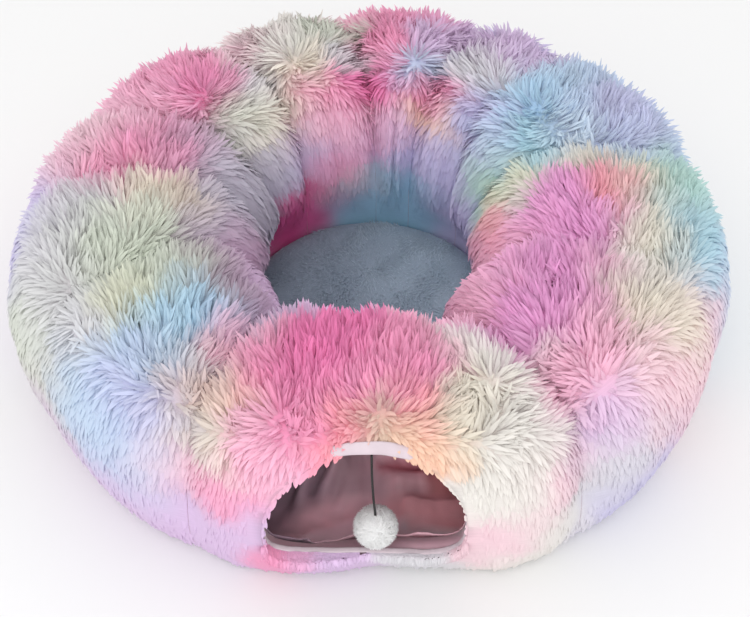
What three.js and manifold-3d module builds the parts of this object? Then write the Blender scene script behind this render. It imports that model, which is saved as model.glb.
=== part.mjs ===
// A round plush cat tunnel bed: a hollow ring of long-pile gores, a front panel with a
// D-shaped entrance, a filled mat in the middle and a pompom on an elastic cord.
// Millimetres, +Z up. The bed stands on z = 0 and the entrance faces -Y.

import * as THREE from 'three';
import { LoftGeometry } from 'three/addons/geometries/LoftGeometry.js';
import { mergeVertices } from 'three/addons/utils/BufferGeometryUtils.js';
import Module from 'manifold-3d';

const wasm = await Module();
wasm.setup();

// Ring
const ringCentreY = -21.5;
const wallThickness = 26;
const floorThickness = 12;
const clearance = 0.3;
const lumpHeight = 4;
const pointsAround = 36;
const rowsInside = 3;
const frontRows = 12;

// Mat
const matRadius = 180;
const matHeight = 38;
const matSeamHeight = 16;

// Entrance, measured inside its binding
const mouthCentreX = -6;
const mouthHalfWidth = 106;
const mouthBottom = 57;
const mouthWidestHeight = 110;
const mouthTop = 224;
const mouthPoints = 44;
const mouthLowReach = 389;
const mouthHighReach = 375;
const mouthCutFrom = 310;
const mouthCutTo = 480;

// Lining and binding
const liningThickness = 1.5;
const liningPleatDepth = 7;
const liningOverlap = 4;
const bindingWidth = 11;
const bindingThickness = 5;

// Toy
const cordDiameter = 2.6;
const cordTopX = 1.5;
const pompomX = 6;
const pompomHeight = 90;
const pompomRadius = 26;
const pompomCoreRadius = 17;
const pompomLocks = 110;

const colours = {
	pink: 0xe58fb4,
	cream: 0xe9dccb,
	blue: 0xa9c3dc,
	lilac: 0xc9b1d2,
	mint: 0xc5d6cd,
	slate: 0x6f8594,
	mauve: 0xb98f9c,
	white: 0xf2efee,
	black: 0x1c1a1b,
};

// Each seam lies in an upright plane. The angles say where that plane crosses the outer
// and the inner edge of the ring, in degrees anticlockwise from +X. inner and outer are
// the radii of the tube's two bellies there, and crest is its height.
const seams = {
	frontRight: { outerAngle: -56, innerAngle: -58, inner: 160, outer: 430, crest: 244 },
	lowRight: { outerAngle: -20, innerAngle: -20, inner: 134, outer: 442, crest: 259 },
	right: { outerAngle: 12, innerAngle: 32, inner: 142, outer: 447, crest: 250 },
	upperRight: { outerAngle: 50, innerAngle: 49, inner: 162, outer: 447, crest: 258 },
	backRight: { outerAngle: 66, innerAngle: 74, inner: 170, outer: 446, crest: 259 },
	back: { outerAngle: 97, innerAngle: 86, inner: 174, outer: 444, crest: 252 },
	backLeft: { outerAngle: 125, innerAngle: 118, inner: 170, outer: 441, crest: 250 },
	upperLeft: { outerAngle: 155, innerAngle: 142, inner: 160, outer: 441, crest: 248 },
	left: { outerAngle: 177, innerAngle: 162, inner: 144, outer: 446, crest: 253 },
	lowLeft: { outerAngle: 208, innerAngle: 190, inner: 140, outer: 437, crest: 249 },
	frontLeft: { outerAngle: 241, innerAngle: 236, inner: 156, outer: 424, crest: 248 },
};

// Each gore runs anticlockwise from one seam to the next and swells between them to the
// sizes given here. fullness fills out its shoulders: 0 is round and 1 is boxy.
const gores = [
	{ name: 'gore_right_front', from: 'frontRight', to: 'lowRight', inner: 125, outer: 443, crest: 270, fullness: 0.35, rows: 9, colour: 'lilac' },
	{ name: 'gore_right', from: 'lowRight', to: 'right', inner: 124, outer: 451, crest: 269, fullness: 0.35, rows: 9, colour: 'pink' },
	{ name: 'gore_right_back', from: 'right', to: 'upperRight', inner: 143, outer: 456, crest: 270, fullness: 0.35, rows: 9, colour: 'blue' },
	{ name: 'gore_back_right', from: 'upperRight', to: 'backRight', inner: 158, outer: 454, crest: 269, fullness: 0.35, rows: 6, colour: 'blue' },
	{ name: 'gore_back_middle', from: 'backRight', to: 'back', inner: 166, outer: 452, crest: 268, fullness: 0.35, rows: 8, colour: 'pink' },
	{ name: 'gore_back_left', from: 'back', to: 'backLeft', inner: 165, outer: 450, crest: 268, fullness: 0.35, rows: 8, colour: 'cream' },
	{ name: 'gore_left_back', from: 'backLeft', to: 'upperLeft', inner: 155, outer: 450, crest: 268, fullness: 0.35, rows: 8, colour: 'pink' },
	{ name: 'gore_left_upper', from: 'upperLeft', to: 'left', inner: 138, outer: 450, crest: 266, fullness: 0.35, rows: 7, colour: 'mint' },
	{ name: 'gore_left', from: 'left', to: 'lowLeft', inner: 126, outer: 449, crest: 267, fullness: 0.35, rows: 9, colour: 'mint' },
	{ name: 'gore_left_front', from: 'lowLeft', to: 'frontLeft', inner: 128, outer: 436, crest: 266, fullness: 0.35, rows: 9, colour: 'lilac' },
];

// The front panel's sizes at stations from its left seam, at 0, to its right seam, at 1.
const frontStations = [
	{ at: 0, inner: 156, outer: 424, crest: 250, fullness: 0.3 },
	{ at: 0.12, inner: 148, outer: 428, crest: 265, fullness: 0.6 },
	{ at: 0.3, inner: 144, outer: 420, crest: 272, fullness: 0.9 },
	{ at: 0.48, inner: 143, outer: 403, crest: 271, fullness: 1 },
	{ at: 0.66, inner: 144, outer: 414, crest: 268, fullness: 0.9 },
	{ at: 0.8, inner: 155, outer: 432, crest: 257, fullness: 0.7 },
	{ at: 0.92, inner: 162, outer: 436, crest: 252, fullness: 0.5 },
	{ at: 1, inner: 160, outer: 430, crest: 244, fullness: 0.3 },
];

// Softer folds that don't part a gore. at and width are shares of the way from its first
// seam to its last, and depth is how far the cloth sinks there.
const folds = [
	{ name: 'front_panel', at: 0.76, width: 0.05, depth: 11 },
	{ name: 'gore_left_front', at: 0.68, width: 0.09, depth: 12 },
	{ name: 'gore_left', at: 0.4, width: 0.09, depth: 8 },
	{ name: 'gore_right_back', at: 0.5, width: 0.1, depth: 8 },
	{ name: 'gore_left_back', at: 0.45, width: 0.1, depth: 8 },
	{ name: 'gore_right_front', at: 0.45, width: 0.08, depth: 7 },
];

const degrees = Math.PI / 180;
const { lerp, smoothstep } = THREE.MathUtils;

// The closed outline of the tube at one station, as points of radius and height. It runs
// from the crest out and down, along the flat foot and up the side that faces the mat.
function tubeOutline( { inner, outer, crest, floor, foot, fullness } ) {

	const width = outer - inner;
	const height = crest - floor;
	const ridge = inner + width * 0.5;
	const shoulder = ( 0.05 - 0.035 * fullness ) * width;
	const corner = ( 0.2 - 0.1 * fullness ) * width;
	const controls = [
		[ ridge, crest ],
		[ outer - corner, floor + height * 0.9 ],
		[ outer - shoulder, floor + height * 0.7 ],
		[ outer, floor + height * 0.42 ],
		[ outer - width * 0.035, floor + height * 0.14 ],
		[ outer - width * 0.1, floor ],
		[ ridge, floor ],
		[ foot, floor ],
		[ foot, floor + 28 ],
		[ inner, floor + height * 0.45 ],
		[ inner + width * 0.07, floor + height * 0.74 ],
		[ inner + width * 0.22, floor + height * 0.92 ],
	];
	const curve = new THREE.CatmullRomCurve3(
		controls.map( ( [ radius, z ] ) => new THREE.Vector3( radius, 0, z ) ), true, 'centripetal' );

	return Array.from( { length: pointsAround }, ( _, i ) => {

		const point = curve.getPoint( i / pointsAround );
		const low = point.z < floor + 28 && point.x < ridge;
		return new THREE.Vector2( low ? Math.max( point.x, foot ) : point.x, Math.max( point.z, floor ) );

	} );

}

// The same outline drawn in by one thickness on its sides and top, above a given floor.
function drawnIn( station, thickness, floor ) {

	return {
		...station,
		inner: station.inner + thickness,
		outer: station.outer - thickness,
		crest: station.crest - thickness,
		foot: station.foot + thickness,
		floor,
	};

}

// The angle at which a seam's upright plane crosses the circle of the given radius.
function seamAngle( seam, radius ) {

	const centre = new THREE.Vector2();
	const outerPoint = new THREE.Vector2( seam.outer, 0 ).rotateAround( centre, seam.outerAngle * degrees );
	const innerPoint = new THREE.Vector2( seam.inner, 0 ).rotateAround( centre, seam.innerAngle * degrees );
	const along = outerPoint.clone().sub( innerPoint ).normalize();
	const offset = innerPoint.x * along.y - innerPoint.y * along.x;
	const reach = Math.sqrt( radius * radius - offset * offset );
	const point = innerPoint.addScaledVector( along, reach - innerPoint.dot( along ) );
	const middle = ( seam.outerAngle + seam.innerAngle ) / 2 * degrees;
	const turn = Math.atan2( point.y, point.x ) - middle;
	return middle + Math.atan2( Math.sin( turn ), Math.cos( turn ) );

}

// A point of the ring: at is the share of the way between two seams.
function ringPoint( from, to, at, radius, z ) {

	const margin = clearance / 2 / radius;
	const first = seamAngle( seams[ from ], radius ) + margin;
	let last = seamAngle( seams[ to ], radius ) - margin;
	if ( last < first ) last += Math.PI * 2;
	const angle = lerp( first, last, at );
	return new THREE.Vector3( radius * Math.cos( angle ), ringCentreY + radius * Math.sin( angle ), z );

}

// A gore's sizes at one station: it swells from seam to seam.
function goreStation( gore, at ) {

	const swell = 1 - Math.pow( Math.abs( 2 * at - 1 ), 2.6 );
	const size = key => lerp( lerp( seams[ gore.from ][ key ], seams[ gore.to ][ key ], at ), gore[ key ], swell );
	return { inner: size( 'inner' ), outer: size( 'outer' ), crest: size( 'crest' ), fullness: gore.fullness, swell };

}

// The front panel's sizes at one station, between the rows of its table.
function frontStation( at ) {

	const next = frontStations.find( row => row.at >= at && row.at > 0 );
	const last = frontStations[ frontStations.indexOf( next ) - 1 ];
	const share = ( at - last.at ) / ( next.at - last.at );
	const size = key => lerp( last[ key ], next[ key ], share );
	const swell = 1 - Math.pow( Math.abs( 2 * at - 1 ), 4 );
	return { inner: size( 'inner' ), outer: size( 'outer' ), crest: size( 'crest' ), fullness: size( 'fullness' ), swell };

}

// How far the pile stands out in tufts, and how far a fold sinks, at a point of the skin.
function skinRelief( name, at, around, swell ) {

	const tuft = Math.sin( at * 17 + around * 5 ) * Math.sin( around * 43 + at * 6 ) + 0.5 * Math.sin( around * 71 - at * 11 );
	const sunk = folds
		.filter( fold => fold.name === name )
		.reduce( ( sum, fold ) => sum + fold.depth * Math.exp( - ( ( ( at - fold.at ) / fold.width ) ** 2 ) ), 0 );
	return ( tuft * lumpHeight - sunk ) * swell;

}

// Rows between two seams, closer together near the seams, where the skin turns in.
function rowsBetween( count ) {

	return Array.from( { length: count + 1 }, ( _, j ) => ( 1 - Math.cos( Math.PI * j / count ) ) / 2 );

}

// A hollow length of tube between two seams, open at both ends. Each section of the loft
// is one strip of the wall: out along its outside from seam to seam and back inside.
function tubeGeometry( { name, from, to, stationAt, outsideRows, insideRows, outside, inside } ) {

	const outerRows = outsideRows.map( at => ( { at, points: outside( name, stationAt( at ), at ) } ) );
	const innerRows = insideRows.map( at => ( { at, points: inside( name, stationAt( at ), at ) } ) ).reverse();
	const sections = [];
	for ( let i = 0; i <= pointsAround; i ++ ) {

		const strip = [ ...outerRows, ...innerRows ].map( ( { at, points } ) => {

			const point = points[ i % pointsAround ];
			return ringPoint( from, to, at, point.x, point.y );

		} );
		sections.push( strip.reverse() );

	}

	return new LoftGeometry( sections );

}

// The plush outside, with its tufts and folds. The foot stays flat.
function plushOutline( name, station, at ) {

	const sized = { ...station, floor: 0, foot: matRadius + clearance * 3 };
	const outline = tubeOutline( sized );
	const middle = new THREE.Vector2( ( station.inner + station.outer ) / 2, station.crest * 0.45 );
	return outline.map( ( point, i ) => {

		const out = point.clone().sub( middle ).normalize();
		const lift = skinRelief( name, at, i / pointsAround, station.swell ) * smoothstep( point.y, 30, 110 );
		return point.clone().addScaledVector( out, lift );

	} );

}

// The smooth inside of the wall.
function wallOutline( name, station ) {

	return tubeOutline( drawnIn( { ...station, foot: matRadius + clearance * 3 }, wallThickness, floorThickness ) );

}

// One face of the lining sheet, which lies against the wall and gathers into pleats.
function liningOutline( station, at, depth ) {

	const inset = wallThickness + clearance + depth;
	const outline = tubeOutline( drawnIn( { ...station, foot: matRadius + clearance * 3 }, inset, floorThickness + clearance + depth ) );
	const middle = new THREE.Vector2( ( station.inner + station.outer ) / 2, station.crest * 0.45 );
	return outline.map( ( point, i ) => {

		const around = i / pointsAround;
		const pleat = 0.5 + 0.5 * Math.sin( at * 37 + 3 * Math.sin( around * 12 ) );
		return point.clone().lerp( middle, pleat * liningPleatDepth / point.distanceTo( middle ) );

	} );

}

// Booleans
function toSolid( geometry ) {

	const bare = new THREE.BufferGeometry();
	bare.setAttribute( 'position', geometry.getAttribute( 'position' ) );
	bare.setIndex( geometry.getIndex() );
	const merged = mergeVertices( bare, 1e-4 );
	return new wasm.Manifold( new wasm.Mesh( {
		numProp: 3,
		vertProperties: new Float32Array( merged.getAttribute( 'position' ).array ),
		triVerts: new Uint32Array( merged.getIndex().array ),
	} ) );

}

function toGeometry( solid ) {

	const mesh = solid.getMesh();
	const geometry = new THREE.BufferGeometry();
	geometry.setAttribute( 'position', new THREE.BufferAttribute( new Float32Array( mesh.vertProperties ), 3 ) );
	geometry.setIndex( new THREE.BufferAttribute( new Uint32Array( mesh.triVerts ), 1 ) );
	geometry.computeVertexNormals();
	return geometry;

}

// The entrance's outline, grown by a margin, as points of x and height. Its top is a
// round arch and its lower edge is nearly straight.
function mouthOutline( margin ) {

	return Array.from( { length: mouthPoints }, ( _, i ) => {

		const turn = i / mouthPoints * Math.PI * 2;
		const above = Math.sin( turn ) >= 0;
		const power = above ? 0.92 : 0.55;
		const half = above ? mouthTop - mouthWidestHeight : mouthWidestHeight - mouthBottom;
		const x = Math.sign( Math.cos( turn ) ) * Math.pow( Math.abs( Math.cos( turn ) ), power );
		const z = Math.sign( Math.sin( turn ) ) * Math.pow( Math.abs( Math.sin( turn ) ), power );
		return new THREE.Vector2( mouthCentreX + x * ( mouthHalfWidth + margin ), mouthWidestHeight + z * ( half + margin ) );

	} );

}

// A prism with the entrance's outline that reaches through the front wall only.
function mouthCutter( margin ) {

	const shape = new THREE.Shape( mouthOutline( margin ) );
	const prism = new THREE.ExtrudeGeometry( shape, { depth: mouthCutTo - mouthCutFrom, bevelEnabled: false } );
	prism.rotateX( Math.PI / 2 );
	prism.translate( 0, ringCentreY - mouthCutFrom, 0 );
	return toSolid( prism );

}

// How far forward the entrance's edge lies at a height: the wall leans back above its belly.
function mouthY( z ) {

	return ringCentreY - lerp( mouthLowReach, mouthHighReach, smoothstep( z, mouthWidestHeight, mouthTop ) );

}

// The flat binding round the entrance: a closed loft of rectangular sections.
function bindingGeometry() {

	const insideEdge = mouthOutline( 0 );
	const outsideEdge = mouthOutline( bindingWidth );
	const half = bindingThickness / 2;
	const sections = [];
	for ( let i = 0; i <= mouthPoints; i ++ ) {

		const near = insideEdge[ i % mouthPoints ];
		const far = outsideEdge[ i % mouthPoints ];
		const y = mouthY( near.y );
		sections.push( [
			new THREE.Vector3( near.x, y + half * 0.5, near.y ),
			new THREE.Vector3( near.x, y - half * 0.5, near.y ),
			new THREE.Vector3( ( near.x + far.x ) / 2, y - half, ( near.y + far.y ) / 2 ),
			new THREE.Vector3( far.x, y - half * 0.6, far.y ),
			new THREE.Vector3( far.x, y + half * 0.6, far.y ),
			new THREE.Vector3( ( near.x + far.x ) / 2, y + half, ( near.y + far.y ) / 2 ),
		] );

	}

	return new LoftGeometry( sections );

}

// The filled mat: flat below, drawn in at its rim and softly crowned.
function matGeometry() {

	const profile = [
		new THREE.Vector2( 0, 0 ),
		new THREE.Vector2( matRadius - 14, 0 ),
		new THREE.Vector2( matRadius - 4, 6 ),
		new THREE.Vector2( matRadius, matSeamHeight ),
		new THREE.Vector2( matRadius - 3, matSeamHeight + 9 ),
		new THREE.Vector2( matRadius - 12, matSeamHeight + 15 ),
		new THREE.Vector2( matRadius - 40, matHeight - 4 ),
		new THREE.Vector2( matRadius - 90, matHeight - 1 ),
		new THREE.Vector2( 0, matHeight ),
	];
	return new THREE.LatheGeometry( profile, 48 ).rotateX( Math.PI / 2 );

}

// The elastic cord, hanging from the top of the entrance into the pompom's core.
function cordGeometry() {

	const y = mouthY( mouthTop );
	const top = mouthTop - clearance * 3;
	const bottom = pompomHeight + pompomCoreRadius + clearance;
	const path = new THREE.CatmullRomCurve3( [
		new THREE.Vector3( cordTopX, y, top ),
		new THREE.Vector3( cordTopX + 0.3, y, lerp( top, bottom, 0.35 ) ),
		new THREE.Vector3( lerp( cordTopX, pompomX, 0.45 ), y, lerp( top, bottom, 0.7 ) ),
		new THREE.Vector3( pompomX, y, bottom ),
	] );
	const section = new THREE.Shape( Array.from( { length: 8 }, ( _, i ) =>
		new THREE.Vector2( cordDiameter / 2, 0 ).rotateAround( new THREE.Vector2(), i / 8 * Math.PI * 2 ) ) );
	return new THREE.ExtrudeGeometry( section, { steps: 18, extrudePath: path, bevelEnabled: false } );

}

// The pompom: three-sided locks of yarn fused into a round core.
function pompomGeometry() {

	let solid = toSolid( new THREE.IcosahedronGeometry( pompomCoreRadius, 3 ) );
	const goldenAngle = Math.PI * ( 3 - Math.sqrt( 5 ) );
	const up = new THREE.Vector3( 0, 1, 0 );
	for ( let i = 0; i < pompomLocks; i ++ ) {

		const height = 1 - 2 * ( i + 0.5 ) / pompomLocks;
		const ring = Math.sqrt( 1 - height * height );
		const direction = new THREE.Vector3( ring * Math.cos( i * goldenAngle ), ring * Math.sin( i * goldenAngle ), height );
		if ( height > 0.93 ) continue;
		const reach = pompomRadius - 1.5 * ( 0.5 + 0.5 * Math.sin( i * 7.3 ) );
		const root = pompomCoreRadius * 0.8;
		const lock = new THREE.ConeGeometry( 2.6, reach - root, 3, 1 );
		lock.translate( 0, ( reach + root ) / 2, 0 );
		lock.applyQuaternion( new THREE.Quaternion().setFromUnitVectors( up, direction ) );
		solid = solid.add( toSolid( lock ) );

	}

	return toGeometry( solid );

}

function piece( name, geometry, { color, roughness } ) {

	const mesh = new THREE.Mesh( geometry, new THREE.MeshStandardMaterial( { color, roughness, metalness: 0 } ) );
	mesh.name = name;
	return mesh;

}

const bed = new THREE.Group();

for ( const gore of gores ) {

	const geometry = tubeGeometry( {
		...gore,
		stationAt: at => goreStation( gore, at ),
		outsideRows: rowsBetween( gore.rows ),
		insideRows: rowsBetween( rowsInside ),
		outside: plushOutline,
		inside: wallOutline,
	} );
	bed.add( piece( gore.name, geometry, { color: colours[ gore.colour ], roughness: 0.95 } ) );

}

const frontTube = tubeGeometry( {
	name: 'front_panel',
	from: 'frontLeft',
	to: 'frontRight',
	stationAt: frontStation,
	outsideRows: rowsBetween( frontRows ),
	insideRows: rowsBetween( frontRows ),
	outside: plushOutline,
	inside: wallOutline,
} );
const frontPanel = toGeometry( toSolid( frontTube ).subtract( mouthCutter( bindingWidth + clearance ) ) );
bed.add( piece( 'front_panel', frontPanel, { color: colours.pink, roughness: 0.95 } ) );

const liningTube = tubeGeometry( {
	name: 'front_lining',
	from: 'frontLeft',
	to: 'frontRight',
	stationAt: frontStation,
	outsideRows: rowsBetween( frontRows ),
	insideRows: rowsBetween( frontRows ),
	outside: ( name, station, at ) => liningOutline( station, at, 0 ),
	inside: ( name, station, at ) => liningOutline( station, at, liningThickness ),
} );
const lining = toGeometry( toSolid( liningTube ).subtract( mouthCutter( liningOverlap ) ) );
bed.add( piece( 'front_lining', lining, { color: colours.mauve, roughness: 0.7 } ) );

bed.add( piece( 'mouth_binding', bindingGeometry(), { color: colours.white, roughness: 0.8 } ) );
bed.add( piece( 'toy_cord', cordGeometry(), { color: colours.black, roughness: 0.6 } ) );

const pompom = piece( 'toy_pompom', pompomGeometry(), { color: colours.white, roughness: 0.95 } );
pompom.position.set( pompomX, mouthY( mouthTop ), pompomHeight );
bed.add( pompom );

const mat = piece( 'centre_mat', matGeometry(), { color: colours.slate, roughness: 0.95 } );
mat.position.set( 0, ringCentreY, 0 );
bed.add( mat );

export default bed;
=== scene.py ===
# A round plush cat tunnel bed: ten long-pile gores and a front panel in a ring, a filled
# mat in the middle, a lined entrance and a pompom that hangs in it on an elastic cord.
# The tables are in millimetres, as the bed was cut. The meshes are in metres.

import bpy
import bmesh
import math
import numpy as np
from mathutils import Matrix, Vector


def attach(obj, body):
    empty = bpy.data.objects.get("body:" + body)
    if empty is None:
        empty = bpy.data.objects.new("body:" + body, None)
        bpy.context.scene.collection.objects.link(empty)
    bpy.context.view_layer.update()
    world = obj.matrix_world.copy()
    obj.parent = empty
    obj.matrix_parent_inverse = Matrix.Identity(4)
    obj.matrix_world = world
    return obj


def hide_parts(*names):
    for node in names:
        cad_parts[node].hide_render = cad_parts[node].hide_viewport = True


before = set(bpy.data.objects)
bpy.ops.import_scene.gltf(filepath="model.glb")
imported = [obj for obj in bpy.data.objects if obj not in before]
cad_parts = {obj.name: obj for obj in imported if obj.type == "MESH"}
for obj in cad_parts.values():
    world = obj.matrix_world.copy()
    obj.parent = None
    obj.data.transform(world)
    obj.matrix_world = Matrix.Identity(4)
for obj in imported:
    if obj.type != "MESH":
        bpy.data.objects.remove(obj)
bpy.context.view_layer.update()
metre = 0.001
print("frame loaded")


# Camera
cameraSettings = {
    "position": (0.0, -1.0105, 1.1099),
    "lookAt": (0.0, -0.0665, 0.076),
    "lens": 52.08,
    "sensor": 36.0,
    "shiftX": 0.0065,
}


def addObject(name, data):
    made = bpy.data.objects.new(name, data)
    bpy.context.scene.collection.objects.link(made)
    return made


def addAimed(name, data, place, target):
    # a camera or a lamp, turned to look at a point
    made = addObject(name, data)
    made.location = place
    aim = Vector(target) - Vector(place)
    made.rotation_euler = aim.to_track_quat("-Z", "Y").to_euler()
    return made


def makeCamera(settings):
    data = bpy.data.cameras.new("camera")
    data.lens = settings["lens"]
    data.sensor_width = settings["sensor"]
    data.shift_x = settings["shiftX"]
    bpy.context.scene.camera = addAimed("camera", data, settings["position"], settings["lookAt"])


makeCamera(cameraSettings)


# Sizes of the ring, its seams and its pieces
ring = {
    "centreY": -21.5,
    "clearance": 0.3,
    "wall": 26.0,
    "floor": 12.0,
    "matRadius": 180.0,
    "around": 72,
    "crestPile": 18.0,  # how far the backing lies under the tips
    "outerPile": 4.0,
    "matPile": 8.0,
    "footGap": 7.0,
    "seamReach": 24.0,  # how far from a seam the cloth starts to sink
    "footRise": 28.0,  # how far the tube rises upright beside the mat
    "meanRadius": 300.0,
}

# edge angles in degrees, radii of the two bellies, height of the crest, depth that the seam
# is drawn in at the crest and on the outer side, and how far the pile stands out there
seamKeys = ("outerAngle", "innerAngle", "inner", "outer", "crest", "sink", "outerSink", "proud")
seamRows = {
    "frontRight": (-56, -58, 160, 430, 244, 15, 15, 0),
    "lowRight": (-20, -20, 134, 442, 259, 9, 3, 2),
    "right": (12, 32, 142, 447, 250, 11, 3, 5),
    "upperRight": (50, 49, 162, 447, 258, 8, 3, -4),
    "backRight": (66, 74, 170, 446, 259, 11, 4, -9),
    "back": (97, 86, 174, 444, 252, 11, 4, -4),
    "backLeft": (125, 118, 170, 441, 250, 11, 4, -6),
    "upperLeft": (155, 142, 160, 441, 248, 8, 3, 2),
    "left": (177, 162, 144, 446, 253, 7, 2, 9),
    "lowLeft": (208, 190, 140, 437, 249, 6, 2, 5),
    "frontLeft": (241, 236, 156, 424, 248, 15, 15, -1),
}
seams = {name: dict(zip(seamKeys, row)) for name, row in seamRows.items()}

goreKeys = ("node", "piece", "first", "last", "inner", "outer", "crest", "locks")
goreRows = [
    ("gore_right_front", "rightFrontGore", "frontRight", "lowRight", 125, 443, 270, 7400),
    ("gore_right", "rightGore", "lowRight", "right", 124, 451, 269, 7800),
    ("gore_right_back", "rightBackGore", "right", "upperRight", 143, 456, 270, 7000),
    ("gore_back_right", "backRightGore", "upperRight", "backRight", 158, 454, 269, 3300),
    ("gore_back_middle", "backMiddleGore", "backRight", "back", 166, 452, 268, 5000),
    ("gore_back_left", "backLeftGore", "back", "backLeft", 165, 450, 268, 5000),
    ("gore_left_back", "leftBackGore", "backLeft", "upperLeft", 155, 450, 268, 5600),
    ("gore_left_upper", "leftUpperGore", "upperLeft", "left", 138, 450, 266, 4600),
    ("gore_left", "leftGore", "left", "lowLeft", 126, 449, 267, 7000),
    ("gore_left_front", "leftFrontGore", "lowLeft", "frontLeft", 128, 436, 266, 7200),
]
gores = [dict(zip(goreKeys, row)) for row in goreRows]
panel = {"node": "front_panel", "piece": "frontPanel", "first": "frontLeft", "last": "frontRight",
         "locks": 12600}

# sizes of the front panel from its left seam, at 0, to its right seam, at 1
stationKeys = ("at", "inner", "outer", "crest", "fullness")
stationRows = [
    (0.0, 156, 424, 250, 0.3), (0.12, 148, 428, 265, 0.6), (0.3, 144, 415, 272, 0.9),
    (0.48, 143, 396, 271, 1.0), (0.66, 144, 409, 268, 0.9), (0.8, 155, 432, 257, 0.7),
    (0.92, 162, 436, 252, 0.5), (1.0, 160, 430, 244, 0.3),
]
panelStations = dict(zip(stationKeys, zip(*stationRows)))

# troughs in the backing: at and width are shares of the way between the seams
folds = {
    "frontPanel": [(0.76, 0.05, 13.0), (0.42, 0.07, 4.0), (0.14, 0.06, 4.0)],
    "leftFrontGore": [(0.68, 0.09, 13.0), (0.3, 0.08, 5.0)],
    "leftGore": [(0.4, 0.09, 6.0), (0.72, 0.07, 4.0)],
    "rightBackGore": [(0.5, 0.1, 4.0), (0.25, 0.07, 3.0)],
    "leftBackGore": [(0.45, 0.1, 5.0)],
    "rightFrontGore": [(0.45, 0.08, 8.0), (0.75, 0.06, 4.0)],
    "rightGore": [(0.35, 0.07, 5.0), (0.7, 0.07, 5.0)],
    "backLeftGore": [(0.55, 0.09, 5.0)],
    "backMiddleGore": [(0.5, 0.08, 5.0)],
    "leftUpperGore": [(0.5, 0.1, 5.0)],
}

mouth = {
    "centreX": -6.0,
    "halfWidth": 106.0,
    "bottom": 57.0,
    "widest": 110.0,
    "top": 224.0,
    "lowReach": 389.0,
    "highReach": 375.0,
    "powerAbove": 0.92,
    "powerBelow": 0.55,
    "cutFrom": 310.0,
    "cutTo": 480.0,
    "bandTurn": 1.2,  # where the tape is widest, in radians round the entrance
    "bandPower": 1.1,
}


# Ring geometry
def smoothStep(value, low, high):
    share = np.clip((value - low) / (high - low), 0.0, 1.0)
    return share * share * (3.0 - 2.0 * share)


def unit(vectors):
    return vectors / np.maximum(np.linalg.norm(vectors, axis=-1, keepdims=True), 1e-12)


def onRing(radius, angle, height):
    # places in millimetres at a radius and an angle from the ring's middle
    x = radius * np.cos(angle)
    y = ring["centreY"] + radius * np.sin(angle)
    return np.stack([x, y, height], axis=-1)


def closedCurve(controls, count):
    # centripetal curve through a closed row of control points
    controls = np.asarray(controls, dtype=float)
    total = len(controls)
    place = np.arange(count) / count * total
    index = np.floor(place).astype(int)
    share = (place - index)[:, None]
    p0, p1, p2, p3 = (controls[(index + step) % total] for step in (-1, 0, 1, 2))

    def spacing(a, b):
        return np.maximum(((a - b) ** 2).sum(1) ** 0.25, 1e-4)[:, None]

    d0, d1, d2 = spacing(p0, p1), spacing(p1, p2), spacing(p2, p3)
    t1 = ((p1 - p0) / d0 - (p2 - p0) / (d0 + d1) + (p2 - p1) / d1) * d1
    t2 = ((p2 - p1) / d1 - (p3 - p1) / (d1 + d2) + (p3 - p2) / d2) * d1
    return (p1 + t1 * share + (-3 * p1 + 3 * p2 - 2 * t1 - t2) * share ** 2
            + (2 * p1 - 2 * p2 + t1 + t2) * share ** 3)


def tubeSection(inner, outer, crest, floor, foot, fullness, count):
    # closed outline: out from the crest, down, along the flat foot and up the mat side
    width = outer - inner
    height = crest - floor
    ridge = inner + width * 0.5
    shoulder = (0.05 - 0.035 * fullness) * width
    corner = (0.2 - 0.1 * fullness) * width
    points = closedCurve([
        (ridge, crest),
        (outer - corner, floor + height * 0.9),
        (outer - shoulder, floor + height * 0.7),
        (outer, floor + height * 0.42),
        (outer - width * 0.035, floor + height * 0.14),
        (outer - width * 0.1, floor),
        (ridge, floor),
        (foot, floor),
        (foot, floor + ring["footRise"]),
        (inner, floor + height * 0.45),
        (inner + width * 0.07, floor + height * 0.74),
        (inner + width * 0.22, floor + height * 0.92),
    ], count)
    low = (points[:, 1] < floor + ring["footRise"]) & (points[:, 0] < ridge)
    points[:, 0] = np.where(low, np.maximum(points[:, 0], foot), points[:, 0])
    points[:, 1] = np.maximum(points[:, 1], floor)
    return points


def seamAngle(seam, radius):
    # where a seam's upright plane crosses the circle of this radius
    turns = [math.radians(seam["outerAngle"]), math.radians(seam["innerAngle"])]
    far = np.array([math.cos(turns[0]), math.sin(turns[0])]) * seam["outer"]
    near = np.array([math.cos(turns[1]), math.sin(turns[1])]) * seam["inner"]
    along = (far - near) / np.linalg.norm(far - near)
    offset = near[0] * along[1] - near[1] * along[0]
    reach = np.sqrt(radius ** 2 - offset ** 2) - near @ along
    x = near[0] + along[0] * reach
    y = near[1] + along[1] * reach
    middle = sum(turns) / 2
    turn = np.arctan2(y, x) - middle
    return middle + np.arctan2(np.sin(turn), np.cos(turn))


def stationSize(spec, at):
    # inner, outer, crest, fullness and swell at one share of the way between the seams
    first = seams[spec["first"]]
    last = seams[spec["last"]]
    if spec is panel:
        sizes = [np.interp(at, panelStations["at"], panelStations[key]) for key in stationKeys[1:]]
        sizes.append(1 - abs(2 * at - 1) ** 4)
    else:
        swell = 1 - abs(2 * at - 1) ** 2.6
        sizes = []
        for key in ("inner", "outer", "crest"):
            edge = first[key] + (last[key] - first[key]) * at
            sizes.append(edge + (spec[key] - edge) * swell)
        sizes += [0.35, swell]
    sizes[1] += first["proud"] + (last["proud"] - first["proud"]) * at
    return sizes


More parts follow.
